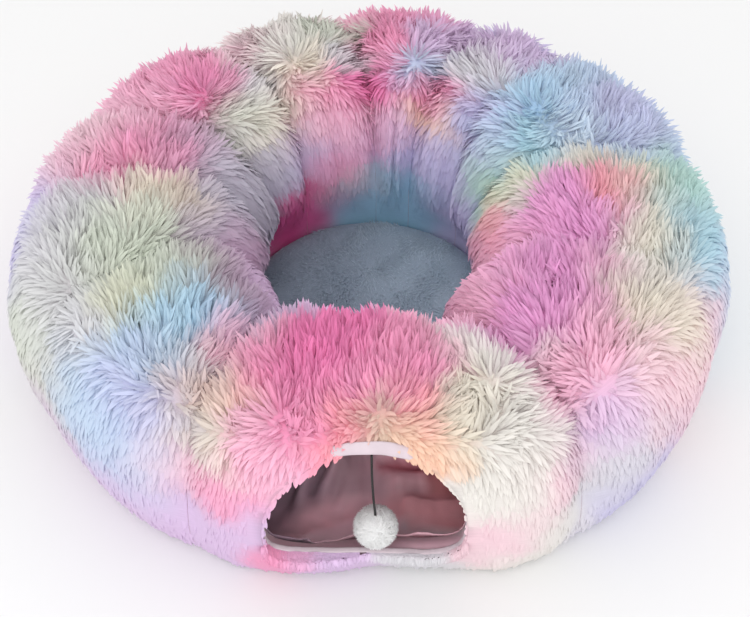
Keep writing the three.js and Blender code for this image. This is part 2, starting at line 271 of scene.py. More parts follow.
def ringRows(spec, ats, insets, floor, footInset, relief, count=ring["around"]):
    # a grid of points in metres: one closed section for each share in ats
    rows = []
    around = np.arange(count) / count
    foot = ring["matRadius"] + 3 * ring["clearance"] + footInset
    for at in ats:
        inner, outer, crest, fullness, swell = stationSize(spec, at)
        section = tubeSection(inner + insets[0], outer - insets[1], crest - insets[2], floor, foot,
                              fullness, count)
        out = unit(section - np.array([(inner + outer) / 2, crest * 0.45]))
        section = section + out * relief(spec, at, around, section[:, 1], swell)[:, None]
        margin = ring["clearance"] / 2 / section[:, 0]
        first = seamAngle(seams[spec["first"]], section[:, 0]) + margin
        last = seamAngle(seams[spec["last"]], section[:, 0]) - margin
        last = np.where(last < first, last + 2 * math.pi, last)
        rows.append(onRing(section[:, 0], first + (last - first) * at, section[:, 1]) * metre)
    return np.array(rows)


def sinkRelief(spec, at, around, height, swell):
    # the cloth sinks in its folds and towards its seams
    sunk = sum(depth * math.exp(-((at - place) / width) ** 2)
               for place, width, depth in folds.get(spec["piece"], []))
    outerSide = smoothStep(around, 0.02, 0.1) * (1 - smoothStep(around, 0.45, 0.55))
    first = seams[spec["first"]]
    last = seams[spec["last"]]
    turn = abs((last["outerAngle"] - first["outerAngle"] + 180) % 360 - 180)
    width = math.radians(turn) * ring["meanRadius"]
    drawn = 0.0
    for seam, away in ((first, at * width), (last, (1 - at) * width)):
        depth = seam["sink"] + (seam["outerSink"] - seam["sink"]) * outerSide
        drawn = drawn + depth * math.exp(-(away / ring["seamReach"]) ** 2)
    return -(sunk * swell * (1 - 0.5 * outerSide) + drawn) * smoothStep(height, 20, 120)


def backingRelief(spec, at, around, height, swell):
    # the mat side gathers into soft pleats
    matSide = np.exp(-((around - 0.8) / 0.14) ** 2)
    pleats = 3.0 * matSide * math.sin(at * 21 + len(spec["piece"])) * swell
    return sinkRelief(spec, at, around, height, swell) + pleats * smoothStep(height, 30, 110)


def easedRows(count):
    return (1 - np.cos(np.pi * np.arange(count + 1) / count)) / 2


# Materials
def linear(code):
    values = [int(code[i:i + 2], 16) / 255 for i in (1, 3, 5)]
    return [v / 12.92 if v < 0.04045 else ((v + 0.055) / 1.055) ** 2.4 for v in values]


def setSockets(node, values):
    for socket, value in values.items():
        node.inputs[socket].default_value = value


def addNode(tree, kind, values=None):
    node = tree.nodes.new("ShaderNode" + kind)
    setSockets(node, values or {})
    return node


def addMix(tree, mode="MIX", values=None):
    mix = addNode(tree, "Mix")
    mix.data_type = "RGBA"
    mix.blend_type = mode
    setSockets(mix, values or {})
    return mix


def addAttribute(tree, name):
    attribute = addNode(tree, "Attribute")
    attribute.attribute_name = name
    return attribute


def addGroup(tree, group, values):
    node = addNode(tree, "Group")
    node.node_tree = group
    setSockets(node, values)
    return node


def linkAll(tree, rows):
    # each row: a node and its output, the next node and its input
    for begin, output, finish, socket in rows:
        tree.links.new(begin.outputs[output], finish.inputs[socket])


def newMaterial(name):
    material = bpy.data.materials.new(name)
    material.use_nodes = True
    tree = material.node_tree
    tree.nodes.clear()
    output = addNode(tree, "OutputMaterial")
    shader = addNode(tree, "BsdfPrincipled")
    linkAll(tree, [(shader, "BSDF", output, "Surface")])
    return material, tree, shader


def startGroup(name, numbers):
    # a node group that takes a vector and some numbers, and puts out a shade and a height
    group = bpy.data.node_groups.new(name, "ShaderNodeTree")
    group.interface.new_socket(name="Vector", in_out="INPUT", socket_type="NodeSocketVector")
    for label, value in numbers.items():
        socket = group.interface.new_socket(name=label, in_out="INPUT", socket_type="NodeSocketFloat")
        socket.default_value = value
    for label in ("Shade", "Height"):
        group.interface.new_socket(name=label, in_out="OUTPUT", socket_type="NodeSocketFloat")
    return group, group.nodes.new("NodeGroupInput"), group.nodes.new("NodeGroupOutput")


def endGroup(group, start, end, shade, height):
    # the group's depth says how dark the shade gets
    span = addNode(group, "MapRange", {"From Min": 0.3, "From Max": 0.7, "To Max": 1.0})
    lowest = addNode(group, "Math", {0: 1.0})
    lowest.operation = "SUBTRACT"
    linkAll(group, [(shade, "Fac", span, "Value"), (start, "Depth", lowest, 1),
                    (lowest, "Value", span, "To Min"), (span, "Result", end, "Shade"),
                    (height, "Fac", end, "Height")])
    return group


def fibreGroup():
    # fine lengthwise streaks on a surface whose map runs from root to tip
    group, start, end = startGroup("fibreStreaks", {"Across": 900.0, "Along": 60.0, "Depth": 0.2})
    scale = addNode(group, "CombineXYZ")
    stretch = addNode(group, "VectorMath")
    stretch.operation = "MULTIPLY"
    noise = addNode(group, "TexNoise", {"Scale": 1.0, "Detail": 2.0})
    linkAll(group, [(start, "Across", scale, "X"), (start, "Along", scale, "Y"),
                    (start, "Vector", stretch, 0), (scale, "Vector", stretch, 1),
                    (stretch, "Vector", noise, "Vector")])
    return endGroup(group, start, end, noise, noise)


def clothGroup():
    # a fine weave and a soft uneven shade
    group, start, end = startGroup("clothGrain", {"Weave": 900.0, "Cloud": 9.0, "Depth": 0.15})
    fine = addNode(group, "TexNoise", {"Detail": 1.0})
    cloud = addNode(group, "TexNoise", {"Detail": 3.0})
    linkAll(group, [(start, "Vector", fine, "Vector"), (start, "Weave", fine, "Scale"),
                    (start, "Vector", cloud, "Vector"), (start, "Cloud", cloud, "Scale")])
    return endGroup(group, start, end, cloud, fine)


fibres = fibreGroup()
clothGrain = clothGroup()


def dressShader(tree, shader, shade, grain, bump, values):
    # the colour, the bump and the shader's own numbers
    relief = addNode(tree, "Bump", bump)
    linkAll(tree, [(shade, "Result", shader, "Base Color"), (grain, "Height", relief, "Height"),
                   (relief, "Normal", shader, "Normal")])
    setSockets(shader, values)


def pileMaterial(name, streaks, rootShade, clearOf, sheen):
    # pile that takes its dye from an attribute, with painted shade towards the root for the shade that
    # falls between the locks
    material, tree, shader = newMaterial(name)
    dyeLightAndShade = addAttribute(tree, "dyeLightAndShade")
    reach = addAttribute(tree, "reach")
    uvMap = addNode(tree, "UVMap")
    uvMap.uv_map = "OFBake"
    streak = addGroup(tree, fibres, {"Across": 900.0, "Along": 60.0, "Depth": streaks})
    root = addMix(tree, "MULTIPLY", {"Factor": 1.0, "B": rootShade + [1.0]})
    rise = addNode(tree, "MapRange", {"From Max": clearOf})
    blend = addMix(tree)
    shade = addMix(tree, "MULTIPLY", {"Factor": 1.0})
    linkAll(tree, [(uvMap, "UV", streak, "Vector"), (dyeLightAndShade, "Color", root, "A"),
                   (reach, "Fac", rise, "Value"), (rise, "Result", blend, "Factor"),
                   (root, "Result", blend, "A"), (dyeLightAndShade, "Color", blend, "B"),
                   (blend, "Result", shade, "A"), (streak, "Shade", shade, "B")])
    dressShader(tree, shader, shade, streak, {"Strength": 0.35, "Distance": 0.0006},
                {"Roughness": 0.85, "Specular IOR Level": 0.25, "Sheen Weight": sheen,
                 "Sheen Roughness": 0.45})
    return material


def clothMaterial(name, settings):
    # smooth cloth, in its own colour or in the dye and painted light and shade of its mesh
    material, tree, shader = newMaterial(name)
    place = addNode(tree, "TexCoord")
    grain = addGroup(tree, clothGrain, {"Weave": settings["weave"], "Cloud": settings["cloud"],
                                        "Depth": settings["uneven"]})
    shade = addMix(tree, "MULTIPLY", {"Factor": 1.0, "A": linear(settings["colour"]) + [1.0]})
    linkAll(tree, [(place, "Object", grain, "Vector"), (grain, "Shade", shade, "B")])
    if settings["meshDyeLightAndShade"]:
        linkAll(tree, [(addAttribute(tree, "dyeLightAndShade"), "Color", shade, "A")])
    dressShader(tree, shader, shade, grain, {"Strength": settings["bump"], "Distance": 0.0005},
                {"Roughness": settings["roughness"], "Sheen Weight": settings["sheen"],
                 "Sheen Roughness": 0.4})
    return material


# depth of the streaks, painted shade at the root, where along a lock the painted shade ends, sheen
plushMaterial = pileMaterial("longPile", 0.1, [0.94, 0.89, 0.92], 0.6, 0.1)
matMaterial = pileMaterial("shortNap", 0.2, [0.7, 0.72, 0.75], 0.9, 0.2)
fluffMaterial = pileMaterial("whiteFluff", 0.05, [0.95, 0.95, 0.96], 0.9, 0.2)

clothKeys = ("colour", "weave", "cloud", "uneven", "bump", "roughness", "sheen", "meshDyeLightAndShade")
clothRows = {
    "liningVelour": ("#dcb2bf", 700.0, 14.0, 0.3, 0.25, 0.6, 0.3, True),
    "innerVelour": ("#cda4b1", 700.0, 14.0, 0.25, 0.25, 0.65, 0.3, False),
    "bindingTape": ("#d6c6ce", 1500.0, 40.0, 0.12, 0.4, 0.7, 0.15, False),
    "elasticBraid": ("#0c0a0b", 1800.0, 300.0, 0.35, 0.6, 0.6, 0.1, False),
}
liningMaterial, wallMaterial, bindingMaterial, cordMaterial = (
    clothMaterial(name, dict(zip(clothKeys, row))) for name, row in clothRows.items())
print("materials made")


# Dye, with a few spots of painted light
dyePots = {
    "hotPink": "#ee7eb3",
    "rose": "#f49cc1",
    "pink": "#f5b8d1",
    "blush": "#f4cfda",
    "coral": "#f8a1b1",
    "peach": "#f5cab1",
    "cream": "#eae1cf",
    "ivory": "#eae6e0",
    "sand": "#dac8b3",
    "sage": "#d5dccc",
    "lemon": "#e4e4c7",
    "mint": "#b2d8cb",
    "aqua": "#a3d0de",
    "sky": "#add6f1",
    "ice": "#d3e3f5",
    "powder": "#c0d5ec",
    "lavender": "#c8c3e8",
    "lilac": "#dcc0e3",
    "orchid": "#eba1d5",
    "mauve": "#c8a5bf",
    "plum": "#d84c90",
    "teal": "#97c6e0",
    "smoke": "#bbb7c5",
    "dusk": "#a2859b",
    "mist": "#d9d7dc",
}

# angle on the ring, rise round the tube (0 outer belly, 90 crest, 180 mat side),
# spread in millimetres, pot
dyeAndLightSpots = [
    # left side, from the front round to the back
    (-128, -18, 60, "lilac"), (-130, 15, 60, "powder"), (-129, 47, 45, "lavender"),
    (-129, 70, 40, "sky"), (-134, 95, 40, "sky"), (-138, 125, 38, "dusk"),
    (-136, 150, 50, "lilac"), (-139, 27, 50, "powder"), (-145, 79, 35, "lemon"),
    (-146, 112, 35, "sage"), (-146, 130, 38, "dusk"), (-150, 45, 50, "mist"),
    (-155, 5, 70, "sage"), (-150, -30, 70, "lilac"), (-155, 95, 45, "sage"),
    (-163, 79, 45, "sage"), (-165, 51, 45, "mist"), (-170, 135, 40, "smoke"),
    (-160, 150, 45, "mauve"), (-177, 119, 30, "sand"), (-179, 100, 32, "cream"),
    (-175, 61, 45, "mist"), (-178, 20, 60, "lavender"), (172, 75, 40, "rose"),
    (165, 100, 40, "rose"), (165, 50, 50, "blush"), (170, -15, 80, "lilac"),
    (163, 130, 40, "smoke"), (158, 110, 40, "mauve"), (150, 152, 45, "smoke"),
    (150, 80, 45, "pink"), (140, 90, 40, "hotPink"), (137, 65, 40, "rose"),
    (140, 20, 80, "pink"), (138, 120, 35, "sage"), (130, 135, 35, "cream"),
    (128, 105, 30, "mist"), (135, 155, 45, "smoke"),
    # back
    # painted light: the blush and ivory spots at 123 and 117 degrees are lighter to lift the shade on
    # the back
    (123, 65, 35, "blush"), (117, 80, 30, "ivory"), (111, 101, 28, "cream"),
    (118, 122, 28, "cream"), (109, 120, 28, "rose"), (112, 138, 28, "pink"),
    (103, 151, 35, "pink"), (118, 160, 35, "lavender"), (115, 198, 32, "plum"),
    (105, 175, 30, "rose"), (98, 193, 30, "mist"), (90, 205, 35, "teal"),
    (110, 30, 70, "ivory"), (100, 70, 30, "sage"), (97, 95, 25, "mist"),
    (90, 118, 25, "hotPink"), (88, 90, 28, "rose"), (90, 145, 28, "pink"),
    (85, 20, 80, "rose"), (76, 104, 26, "powder"), (74, 80, 28, "lilac"),
    (80, 150, 30, "lilac"), (68, 118, 24, "rose"), (66, 138, 26, "peach"),
    (72, 165, 32, "lavender"), (75, 195, 35, "teal"), (57, 97, 34, "mist"),
    (57, 65, 45, "lilac"), (50, 125, 34, "lavender"), (52, 157, 38, "lavender"),
    (45, 185, 45, "lavender"), (60, 10, 80, "lavender"),
    # right side, from the back round to the front
    (40, 80, 40, "powder"), (37, 98, 35, "sky"), (37, 130, 30, "powder"),
    (34, 152, 30, "mint"), (28, 160, 25, "mint"), (25, 118, 34, "aqua"),
    # painted light: the ice spot at 22 degrees lifts the shade in the valley between the back right
    # gores
    (22, 97, 36, "ice"), (22, 62, 50, "lavender"), (25, 15, 80, "powder"),
    (16, 75, 36, "powder"), (13, 130, 22, "lemon"), (14, 150, 25, "lemon"),
    (11, 101, 26, "cream"), (5, 138, 24, "sage"), (0, 158, 26, "coral"),
    (0, 115, 26, "orchid"), (-2, 92, 24, "coral"), (3, 75, 26, "cream"),
    (4, 50, 50, "mint"), (-12, 46, 40, "aqua"), (-5, 10, 80, "powder"),
    (-10, 128, 35, "orchid"), (-20, 140, 40, "pink"), (-20, 165, 45, "pink"),
    (-21, 112, 34, "orchid"), (-15, 96, 28, "orchid"), (-27, 90, 26, "pink"),
    (-15, 72, 36, "cream"), (-24, 72, 34, "ivory"), (-33, 65, 34, "cream"),
    (-29, 40, 40, "cream"), (-35, 100, 35, "orchid"), (-33, 125, 40, "orchid"),
    (-40, 160, 45, "pink"), (-25, 5, 70, "blush"), (-37, 18, 45, "blush"),
    (-42, 42, 40, "blush"), (-45, 72, 34, "pink"), (-45, 95, 34, "orchid"),
    (-53, 103, 34, "orchid"), (-50, 130, 40, "pink"), (-54, 60, 34, "pink"),
    (-52, 34, 38, "lilac"), (-50, 5, 50, "mist"), (-45, -25, 60, "lavender"),
    # front panel
    # painted light: the pink spot at -121 degrees is lighter to lift the shade of the seam beside it
    (-121, 93, 30, "pink"), (-123, 70, 40, "peach"), (-118, 46, 32, "cream"),
    (-120, 20, 38, "blush"), (-113, 88, 28, "rose"), (-109, 50, 26, "pink"),
    (-115, 14, 30, "rose"), (-112, -10, 34, "lilac"), (-118, -30, 45, "lilac"),
    (-104, 92, 34, "hotPink"), (-103, 72, 26, "rose"), (-99, 100, 30, "hotPink"),
    (-92, 88, 26, "rose"), (-94, 66, 22, "coral"), (-88, 66, 24, "sand"),
    (-84, 92, 28, "rose"), (-82, 72, 22, "coral"), (-78, 96, 26, "rose"),
    (-82, 58, 26, "peach"), (-105, -30, 24, "rose"), (-95, -38, 28, "lilac"),
    (-84, -36, 28, "mist"), (-74, 62, 24, "cream"), (-67, 98, 26, "ivory"),
    (-69, 78, 26, "cream"), (-66, 64, 32, "ivory"), (-62, 82, 28, "ivory"),
    (-64, 45, 36, "ivory"), (-68, 20, 32, "ivory"), (-61, 20, 34, "blush"),
    (-70, -15, 34, "blush"), (-62, -25, 45, "ivory"),
]


# the tube that the spots are placed on: mean radius and height of its middle, half its sizes
meanTube = {"radius": 290, "halfWidth": 155, "height": 120, "halfHeight": 145}


def torusPlace(angle, rise):
    # the mean place of a point of the pile
    radius = meanTube["radius"] + meanTube["halfWidth"] * np.cos(np.radians(rise))
    height = meanTube["height"] + meanTube["halfHeight"] * np.sin(np.radians(rise))
    return onRing(radius, np.radians(angle), height) * metre


def placesOf(rows):
    # rows that start with an angle and a rise
    angles, rises = np.array([row[:2] for row in rows], dtype=float).T
    return torusPlace(angles, rises)


spotPlaces = placesOf(dyeAndLightSpots)
spotSpreads = np.array([spot[2] for spot in dyeAndLightSpots]) * metre
spotColours = np.array([linear(dyePots[spot[3]]) for spot in dyeAndLightSpots])


def wander(points, pitch, seed):
    # a smooth random number for each point, about -1 to 1
    rng = np.random.default_rng(seed)
    total = np.zeros(len(points))
    for _ in range(7):
        direction = rng.normal(size=3)
        direction /= np.linalg.norm(direction)
        turns = 2 * math.pi / (pitch * rng.uniform(0.7, 1.5))
        total += np.sin(points @ direction * turns + rng.uniform(0, 2 * math.pi))
    return total / 2.6


def onMeanRing(points):
    # each point's own angle and rise, put on the tube that the spots are placed on
    x = points[:, 0] / metre
    y = points[:, 1] / metre - ring["centreY"]
    up = (points[:, 2] / metre - meanTube["height"]) / meanTube["halfHeight"]
    out = (np.hypot(x, y) - meanTube["radius"]) / meanTube["halfWidth"]
    return torusPlace(np.degrees(np.arctan2(y, x)), np.degrees(np.arctan2(up, out)))


def meanColour(shares):
    # the mean of some colours, each with a weight at every point
    total = 0.0
    weights = 0.0
    for weight, colour in shares:
        total = total + weight[:, None] * colour
        weights = weights + weight
    return total / weights[:, None]


def dyeAndLightAt(points):
    points = onMeanRing(points)
    moved = points + np.stack([wander(points, 0.05, 11 + i) for i in range(3)], axis=1) * 0.007
    return meanColour(
        (np.exp(-((moved - place) ** 2).sum(1) / (2 * (spread * 0.8) ** 2)) + 1e-9, colour)
        for place, spread, colour in zip(spotPlaces, spotSpreads, spotColours))


# Pile
brightest = 0.95
weldReach = 1e-6
frontFrom = -0.3  # the entrance is in front of this y
backingMap = 0.195  # the map below this height holds a backing, the rest its locks
lockMap = (0.2, 1.0)
pile = {
    "length": 26.0,
    "crestLength": 32.0,
    "width": 6.2,
    "crestWidth": 3.9,
    "underShare": 0.68,  # length of the under pile against the guard pile
    "guardShare": 0.3,
    "sunk": 2.0,
    "stand": 8.0,
    "crestStand": 56.0,
    "uprightFrom": 140.0,
    "uprightTo": 262.0,
    "clumpPitch": 9.5,
    "clumpPull": 0.56,
    "sideCalm": 0.95,  # how much flatter the pile lies where it faces out or in
    # painted shade: where the pile lies low on the sides its colour changes by this share, here darker
    "lowLight": -0.05,
    # painted root shade: where the pile lies flat a lock's root counts as this far along it, so the
    # painted shade at its root is fainter
    "lowRoot": 0.6,  # how far up a lock its root starts where the pile lies flat
    "tipFloor": 1.5,
    "rootFloor": 1.2,
}

# how the roots are sown, in millimetres of height and of the way to the front
sowing = {
    "tries": 9,  # places tried for each lock
    "above": 4.0,
    "thickens": (60, 190),
    "matSideBelow": 120,
    "nears": (-330, -60),
    "easing": 0.92,
}

# values where the pile lies flat, and what they gain where it stands upright
crestGains = {
    "comb": (0.05, 0.4),
    "loose": (0.07, 0.4),
    "fine": (0.05, 0.2),
    "stray": (0.03, 0.12),
    "turned": (0.04, 0.24),
    "pull": (0.06, 0.94),
    "tone": (0.01, 0.02),
    "clumpTone": (0.008, 0.025),
    "facing": (0.97, -0.14),
    "thick": (0.32, 0.68),
}

# the pile that hangs over the sill: first and last turn round the entrance, in degrees
lip = {"locks": 2000, "from": 188, "to": 352, "belly": 6.0, "panelTurn": 63.0,
       "length": 16.0, "width": 3.6}

# places that the pile parts from: angle, rise, reach in millimetres, how far it lies down
partings = [
    (76, 98, 36, 0.75), (49, 98, 50, 0.8), (111, 93, 40, 0.6), (140, 92, 50, 0.25),
    (-88, 70, 50, 0.2), (-66, 78, 40, 0.3), (36, 100, 45, 0.3),
]

# rings of a lock, by their number: shares of its length, and of its full width there
lockRings = {
    3: ((0.0, 0.42, 0.78), (0.85, 1.0, 0.62)),
    2: ((0.0, 0.55), (0.9, 0.85)),
    1: ((0.0,), (1.0,)),
}


def onCrest(name, upright):
    flat, gain = crestGains[name]
    return flat + gain * upright


def flattened(vectors, normals):
    # what is left of each vector along the surface with this normal
    return vectors - normals * (vectors * normals).sum(1)[:, None]


def uprightShare(points):
    return smoothStep(points[:, 2] / metre, pile["uprightFrom"], pile["uprightTo"])


def scattered(count, seed):
    # evenly spread pairs in the unit square
    index = np.arange(count) + seed * 7919
    return np.stack([(0.5 + index * 0.7548776662466927) % 1,
                     (0.5 + index * 0.5698402909980532) % 1], axis=1)


def gridSample(grid, a, b):
    # bilinear look-up: a runs along the rows, b runs round the closed section
    rows, around = grid.shape[:2]
    u = np.clip(a * (rows - 1), 0, rows - 1.0001)
    v = (b % 1.0) * around
    i = u.astype(int)
    j = v.astype(int) % around
    fu = (u - i)[:, None]
    fv = (v - np.floor(v))[:, None]
    k = (j + 1) % around
    near = grid[i, j] * (1 - fv) + grid[i, k] * fv
    far = grid[i + 1, j] * (1 - fv) + grid[i + 1, k] * fv
    return near * (1 - fu) + far * fu


def mouthScale(points, margin=0.0):
    # 1 on the entrance's outline grown by a margin, less inside it
    x = points[:, 0] / metre - mouth["centreX"]
    z = points[:, 2] / metre - mouth["widest"]
    above = z >= 0
    half = np.where(above, mouth["top"] - mouth["widest"], mouth["widest"] - mouth["bottom"])
    power = 2 / np.where(above, mouth["powerAbove"], mouth["powerBelow"])
    across = np.abs(x) / (mouth["halfWidth"] + margin)
    up = np.abs(z) / (half + margin)
    return (across ** power + up ** power) ** (1 / power)


def mouthGap(points, margin=0.0):
    # millimetres from the entrance's outline, less than 0 inside it
    scale = np.maximum(mouthScale(points, margin), 1e-3)
    x = points[:, 0] / metre - mouth["centreX"]
    z = points[:, 2] / metre - mouth["widest"]
    return np.hypot(x, z) * (1 - 1 / scale)


def mouthTurn(points):
    x = (points[:, 0] / metre - mouth["centreX"]) / mouth["halfWidth"]
    z = points[:, 2] / metre - mouth["widest"]
    return np.arctan2(z / (mouth["top"] - mouth["widest"]), x)


def bandShare(turn):
    # the tape shows over the top and right of the entrance, and little elsewhere
    return np.maximum(np.cos(turn - mouth["bandTurn"]), 0.0) ** mouth["bandPower"]


def sillRise(x):
    # the piping rides up unevenly along the sill
    return np.interp(x, (-112, -90, -50, -5, 30, 60, 85), (0, 4, 8, 9, 6, 1, 0))


def lockCells(rings, shares):
    # triangles of one lock, and the corners of each in the lock's own cell of the map
    tip = rings * 3
    triangles = []
    cells = []
    for layer in range(rings):
        low = shares[layer]
        high = shares[layer + 1]
        for side in range(3):
            left = (side + 0.06) / 3
            right = (side + 0.94) / 3
            a = layer * 3 + side
            b = layer * 3 + (side + 1) % 3
            if layer == rings - 1:
                triangles.append((a, b, tip))
                cells.append(((left, low), (right, low), ((left + right) / 2, high)))
            else:
                triangles += [(a, b, a + 3), (b, b + 3, a + 3)]
                cells += [((left, low), (right, low), (left, high)),
                          ((right, low), (right, high), (left, high))]
    return np.array(triangles), np.array(cells)


def lockMesh(rings, roots, ends, bends, sides, widths, colours, reachLow, facing, facingShare, thick):
    # three-sided locks that taper to a point, each with its own cell of the map
    count = len(roots)
    widths, reachLow, facingShare, thick = (
        np.broadcast_to(values, count)[:, None] for values in (widths, reachLow, facingShare, thick))
    shares, spans = lockRings[rings]
    flat = unit(sides)
    shaded = facing * facingShare
    layers = []
    turned = []
    for share, span in zip(shares, spans):
        centre = roots * (1 - share) ** 2 + bends * 2 * share * (1 - share) + ends * share ** 2
        along = unit((bends - roots) * (1 - share) + (ends - bends) * share)
        across = unit(flattened(flat, along))
        lift = np.cross(across, along)
        half = widths * span / 2
        for x, y in ((-1.0, -0.2), (0.0, 0.4), (1.0, -0.2)):
            layers.append(centre + across * half * x + lift * (half * thick) * y)
            own = unit(across * x * 0.8 + lift * (0.6 if x else 1.0))
            turned.append(unit(shaded + own * (1 - facingShare)))
    layers.append(ends)
    turned.append(unit(shaded + lift * (1 - facingShare)))
    points = np.stack(layers, axis=1)
    perLock = points.shape[1]
    shares = shares + (1.0,)
    triangles, cells = lockCells(rings, shares)

    # a side that faces away from the lock's shading keeps a normal of its own
    placed = points[:, triangles]
    flatSides = unit(np.cross(placed[:, :, 1] - placed[:, :, 0], placed[:, :, 2] - placed[:, :, 0]))
    normals = np.stack(turned, axis=1)[:, triangles]
    short = np.maximum(0.3 - (normals * flatSides[:, :, None]).sum(3), 0.0)
    normals = unit(normals + flatSides[:, :, None] * short[..., None])
    columns = int(math.ceil(math.sqrt(count)))
    lines = int(math.ceil(count / columns))
    number = np.arange(count)[:, None, None]
    u = (number % columns + 0.04 + cells[None, :, :, 0] * 0.92) / columns
    v = (number // columns + 0.04 + cells[None, :, :, 1] * 0.92) / lines
    reach = np.append(np.repeat(shares[:rings], 3), 1.0)[None]
    return {
        "points": points.reshape(-1, 3),
        "normals": normals.reshape(-1, 3),
        "corners": (number * perLock + triangles[None]).reshape(-1),
        "uvs": np.stack([u, v], axis=-1).reshape(-1, 2),
        "reach": (reachLow + (1 - reachLow) * reach).reshape(-1),
        "dyeLightAndShade": np.repeat(colours, perLock, axis=0),
    }


def joinData(parts):
    # several sets of locks, one above the other in the map
    bottom, top = lockMap
    span = top - bottom
    start = 0
    total = sum(len(part["corners"]) for part in parts)
    for part in parts:
        height = span * len(part["corners"]) / total
        part["uvs"][:, 1] = bottom + part["uvs"][:, 1] * height
        part["corners"] += start
        bottom += height
        start += len(part["points"])
    return {key: np.concatenate([part[key] for part in parts]) for key in parts[0]}


def addPiece(name, mesh, *materials):
    for material in materials:
        mesh.materials.append(material)
    return addObject(name, mesh)


def pieceFrom(bm, name, *materials):
    # a new object that takes over a finished bmesh
    mesh = bpy.data.meshes.new(name)
    bm.to_mesh(mesh)
    bm.free()
    return addPiece(name, mesh, *materials)


def meshFromData(name, data, material):
    mesh = bpy.data.meshes.new(name)
    count = len(data["corners"]) // 3
    mesh.vertices.add(len(data["points"]))
    mesh.vertices.foreach_set("co", data["points"].astype(np.float32).ravel())
    mesh.loops.add(len(data["corners"]))
    mesh.loops.foreach_set("vertex_index", data["corners"].astype(np.int32))
    mesh.polygons.add(count)
    mesh.polygons.foreach_set("loop_start", np.arange(count, dtype=np.int32) * 3)
    mesh.update(calc_edges=True)
    layer = mesh.uv_layers.new(name="OFBake")
    layer.uv.foreach_set("vector", data["uvs"].astype(np.float32).ravel())
    addDyeLightAndShade(mesh, data["dyeLightAndShade"], data["reach"])
    piece = addPiece(name, mesh, material)
    mesh.polygons.foreach_set("use_smooth", np.ones(count, dtype=bool))
    mesh.validate()
    return piece


def addDyeLightAndShade(mesh, colours, reach):
    # the colour carries the dye together with its painted light and shade
    # one colour and one reach for each vertex, or one for all of them
    dyeLightAndShade = mesh.attributes.new("dyeLightAndShade", "FLOAT_COLOR", "POINT")
    full = np.ones((len(mesh.vertices), 4), dtype=np.float32)
    full[:, :3] = colours
    dyeLightAndShade.data.foreach_set("color", full.ravel())
    tip = mesh.attributes.new("reach", "FLOAT", "POINT")
    tip.data.foreach_set("value", np.broadcast_to(reach, len(full)).astype(np.float32))


def meshPoints(mesh):
    points = np.empty(len(mesh.vertices) * 3, dtype=np.float32)
    mesh.vertices.foreach_get("co", points)
    return points.reshape(-1, 3).astype(float)


def joinPieces(name, piece, locks, lockNormals):
    # the locks join their backing, and shade mostly as the surface that they lie on
    mesh = piece.data
    own = np.empty(len(mesh.vertices) * 3, dtype=np.float32)
    mesh.vertex_normals.foreach_get("vector", own)
    corners = np.empty(len(mesh.loops), dtype=np.int32)
    mesh.loops.foreach_get("vertex_index", corners)
    both = [piece, locks]
    with bpy.context.temp_override(active_object=piece, object=piece, selected_objects=both,
                                   selected_editable_objects=both):
        bpy.ops.object.join()
    piece.name = name
    piece.data.name = name
    normals = np.concatenate([own.reshape(-1, 3)[corners], lockNormals])
    piece.data.normals_split_custom_set(normals.tolist())
    return piece


def placeGrid(bm, rows, uvBox):
    # a grid from the operator, its vertices moved to a table of rows
    lines, columns = rows.shape[:2]
    made = bmesh.ops.create_grid(bm, x_segments=columns - 1, y_segments=lines - 1, size=1.0)
    layer = bm.loops.layers.uv.get("OFBake") or bm.loops.layers.uv.new("OFBake")
    places = {}
    for vertex in made["verts"]:
        i = int(round((vertex.co.y + 1) / 2 * (lines - 1)))
        j = int(round((vertex.co.x + 1) / 2 * (columns - 1)))
        places[vertex] = (i, j)
    low, high = uvBox
    for face in {face for vertex in made["verts"] for face in vertex.link_faces}:
        for loop in face.loops:
            i, j = places[loop.vert]
            loop[layer].uv = (low[0] + (high[0] - low[0]) * j / (columns - 1),
                              low[1] + (high[1] - low[1]) * i / (lines - 1))
        face.smooth = True
    for vertex, (i, j) in places.items():
        vertex.co = rows[i, j]


def weld(bm):
    bmesh.ops.remove_doubles(bm, verts=bm.verts, dist=weldReach)
    bmesh.ops.recalc_face_normals(bm, faces=bm.faces)


def tubeWall(name, spec, lines, backLines, uvBox):
    # the plush backing and the smooth inside as one closed wall, open at both seams
    insets = (ring["matPile"], ring["outerPile"], ring["crestPile"])
    outside = ringRows(spec, easedRows(lines), insets, 0.0, ring["footGap"], backingRelief)
    inside = ringRows(spec, easedRows(backLines), [ring["wall"]] * 3, ring["floor"], ring["wall"],
                      sinkRelief)
    strip = np.concatenate([outside, inside[::-1], outside[:1]])
    strip = np.concatenate([strip, strip[:, :1]], axis=1)
    bm = bmesh.new()
    placeGrid(bm, strip, uvBox)
    low, high = uvBox[0][1], uvBox[1][1]
    for face in bm.faces:
        spots = [loop[bm.loops.layers.uv["OFBake"]].uv[1] for loop in face.loops]
        share = (sum(spots) / len(spots) - low) / (high - low)
        face.material_index = 0 if share * (len(strip) - 1) < lines else 1
    weld(bm)
    return pieceFrom(bm, name, plushMaterial, wallMaterial), outside


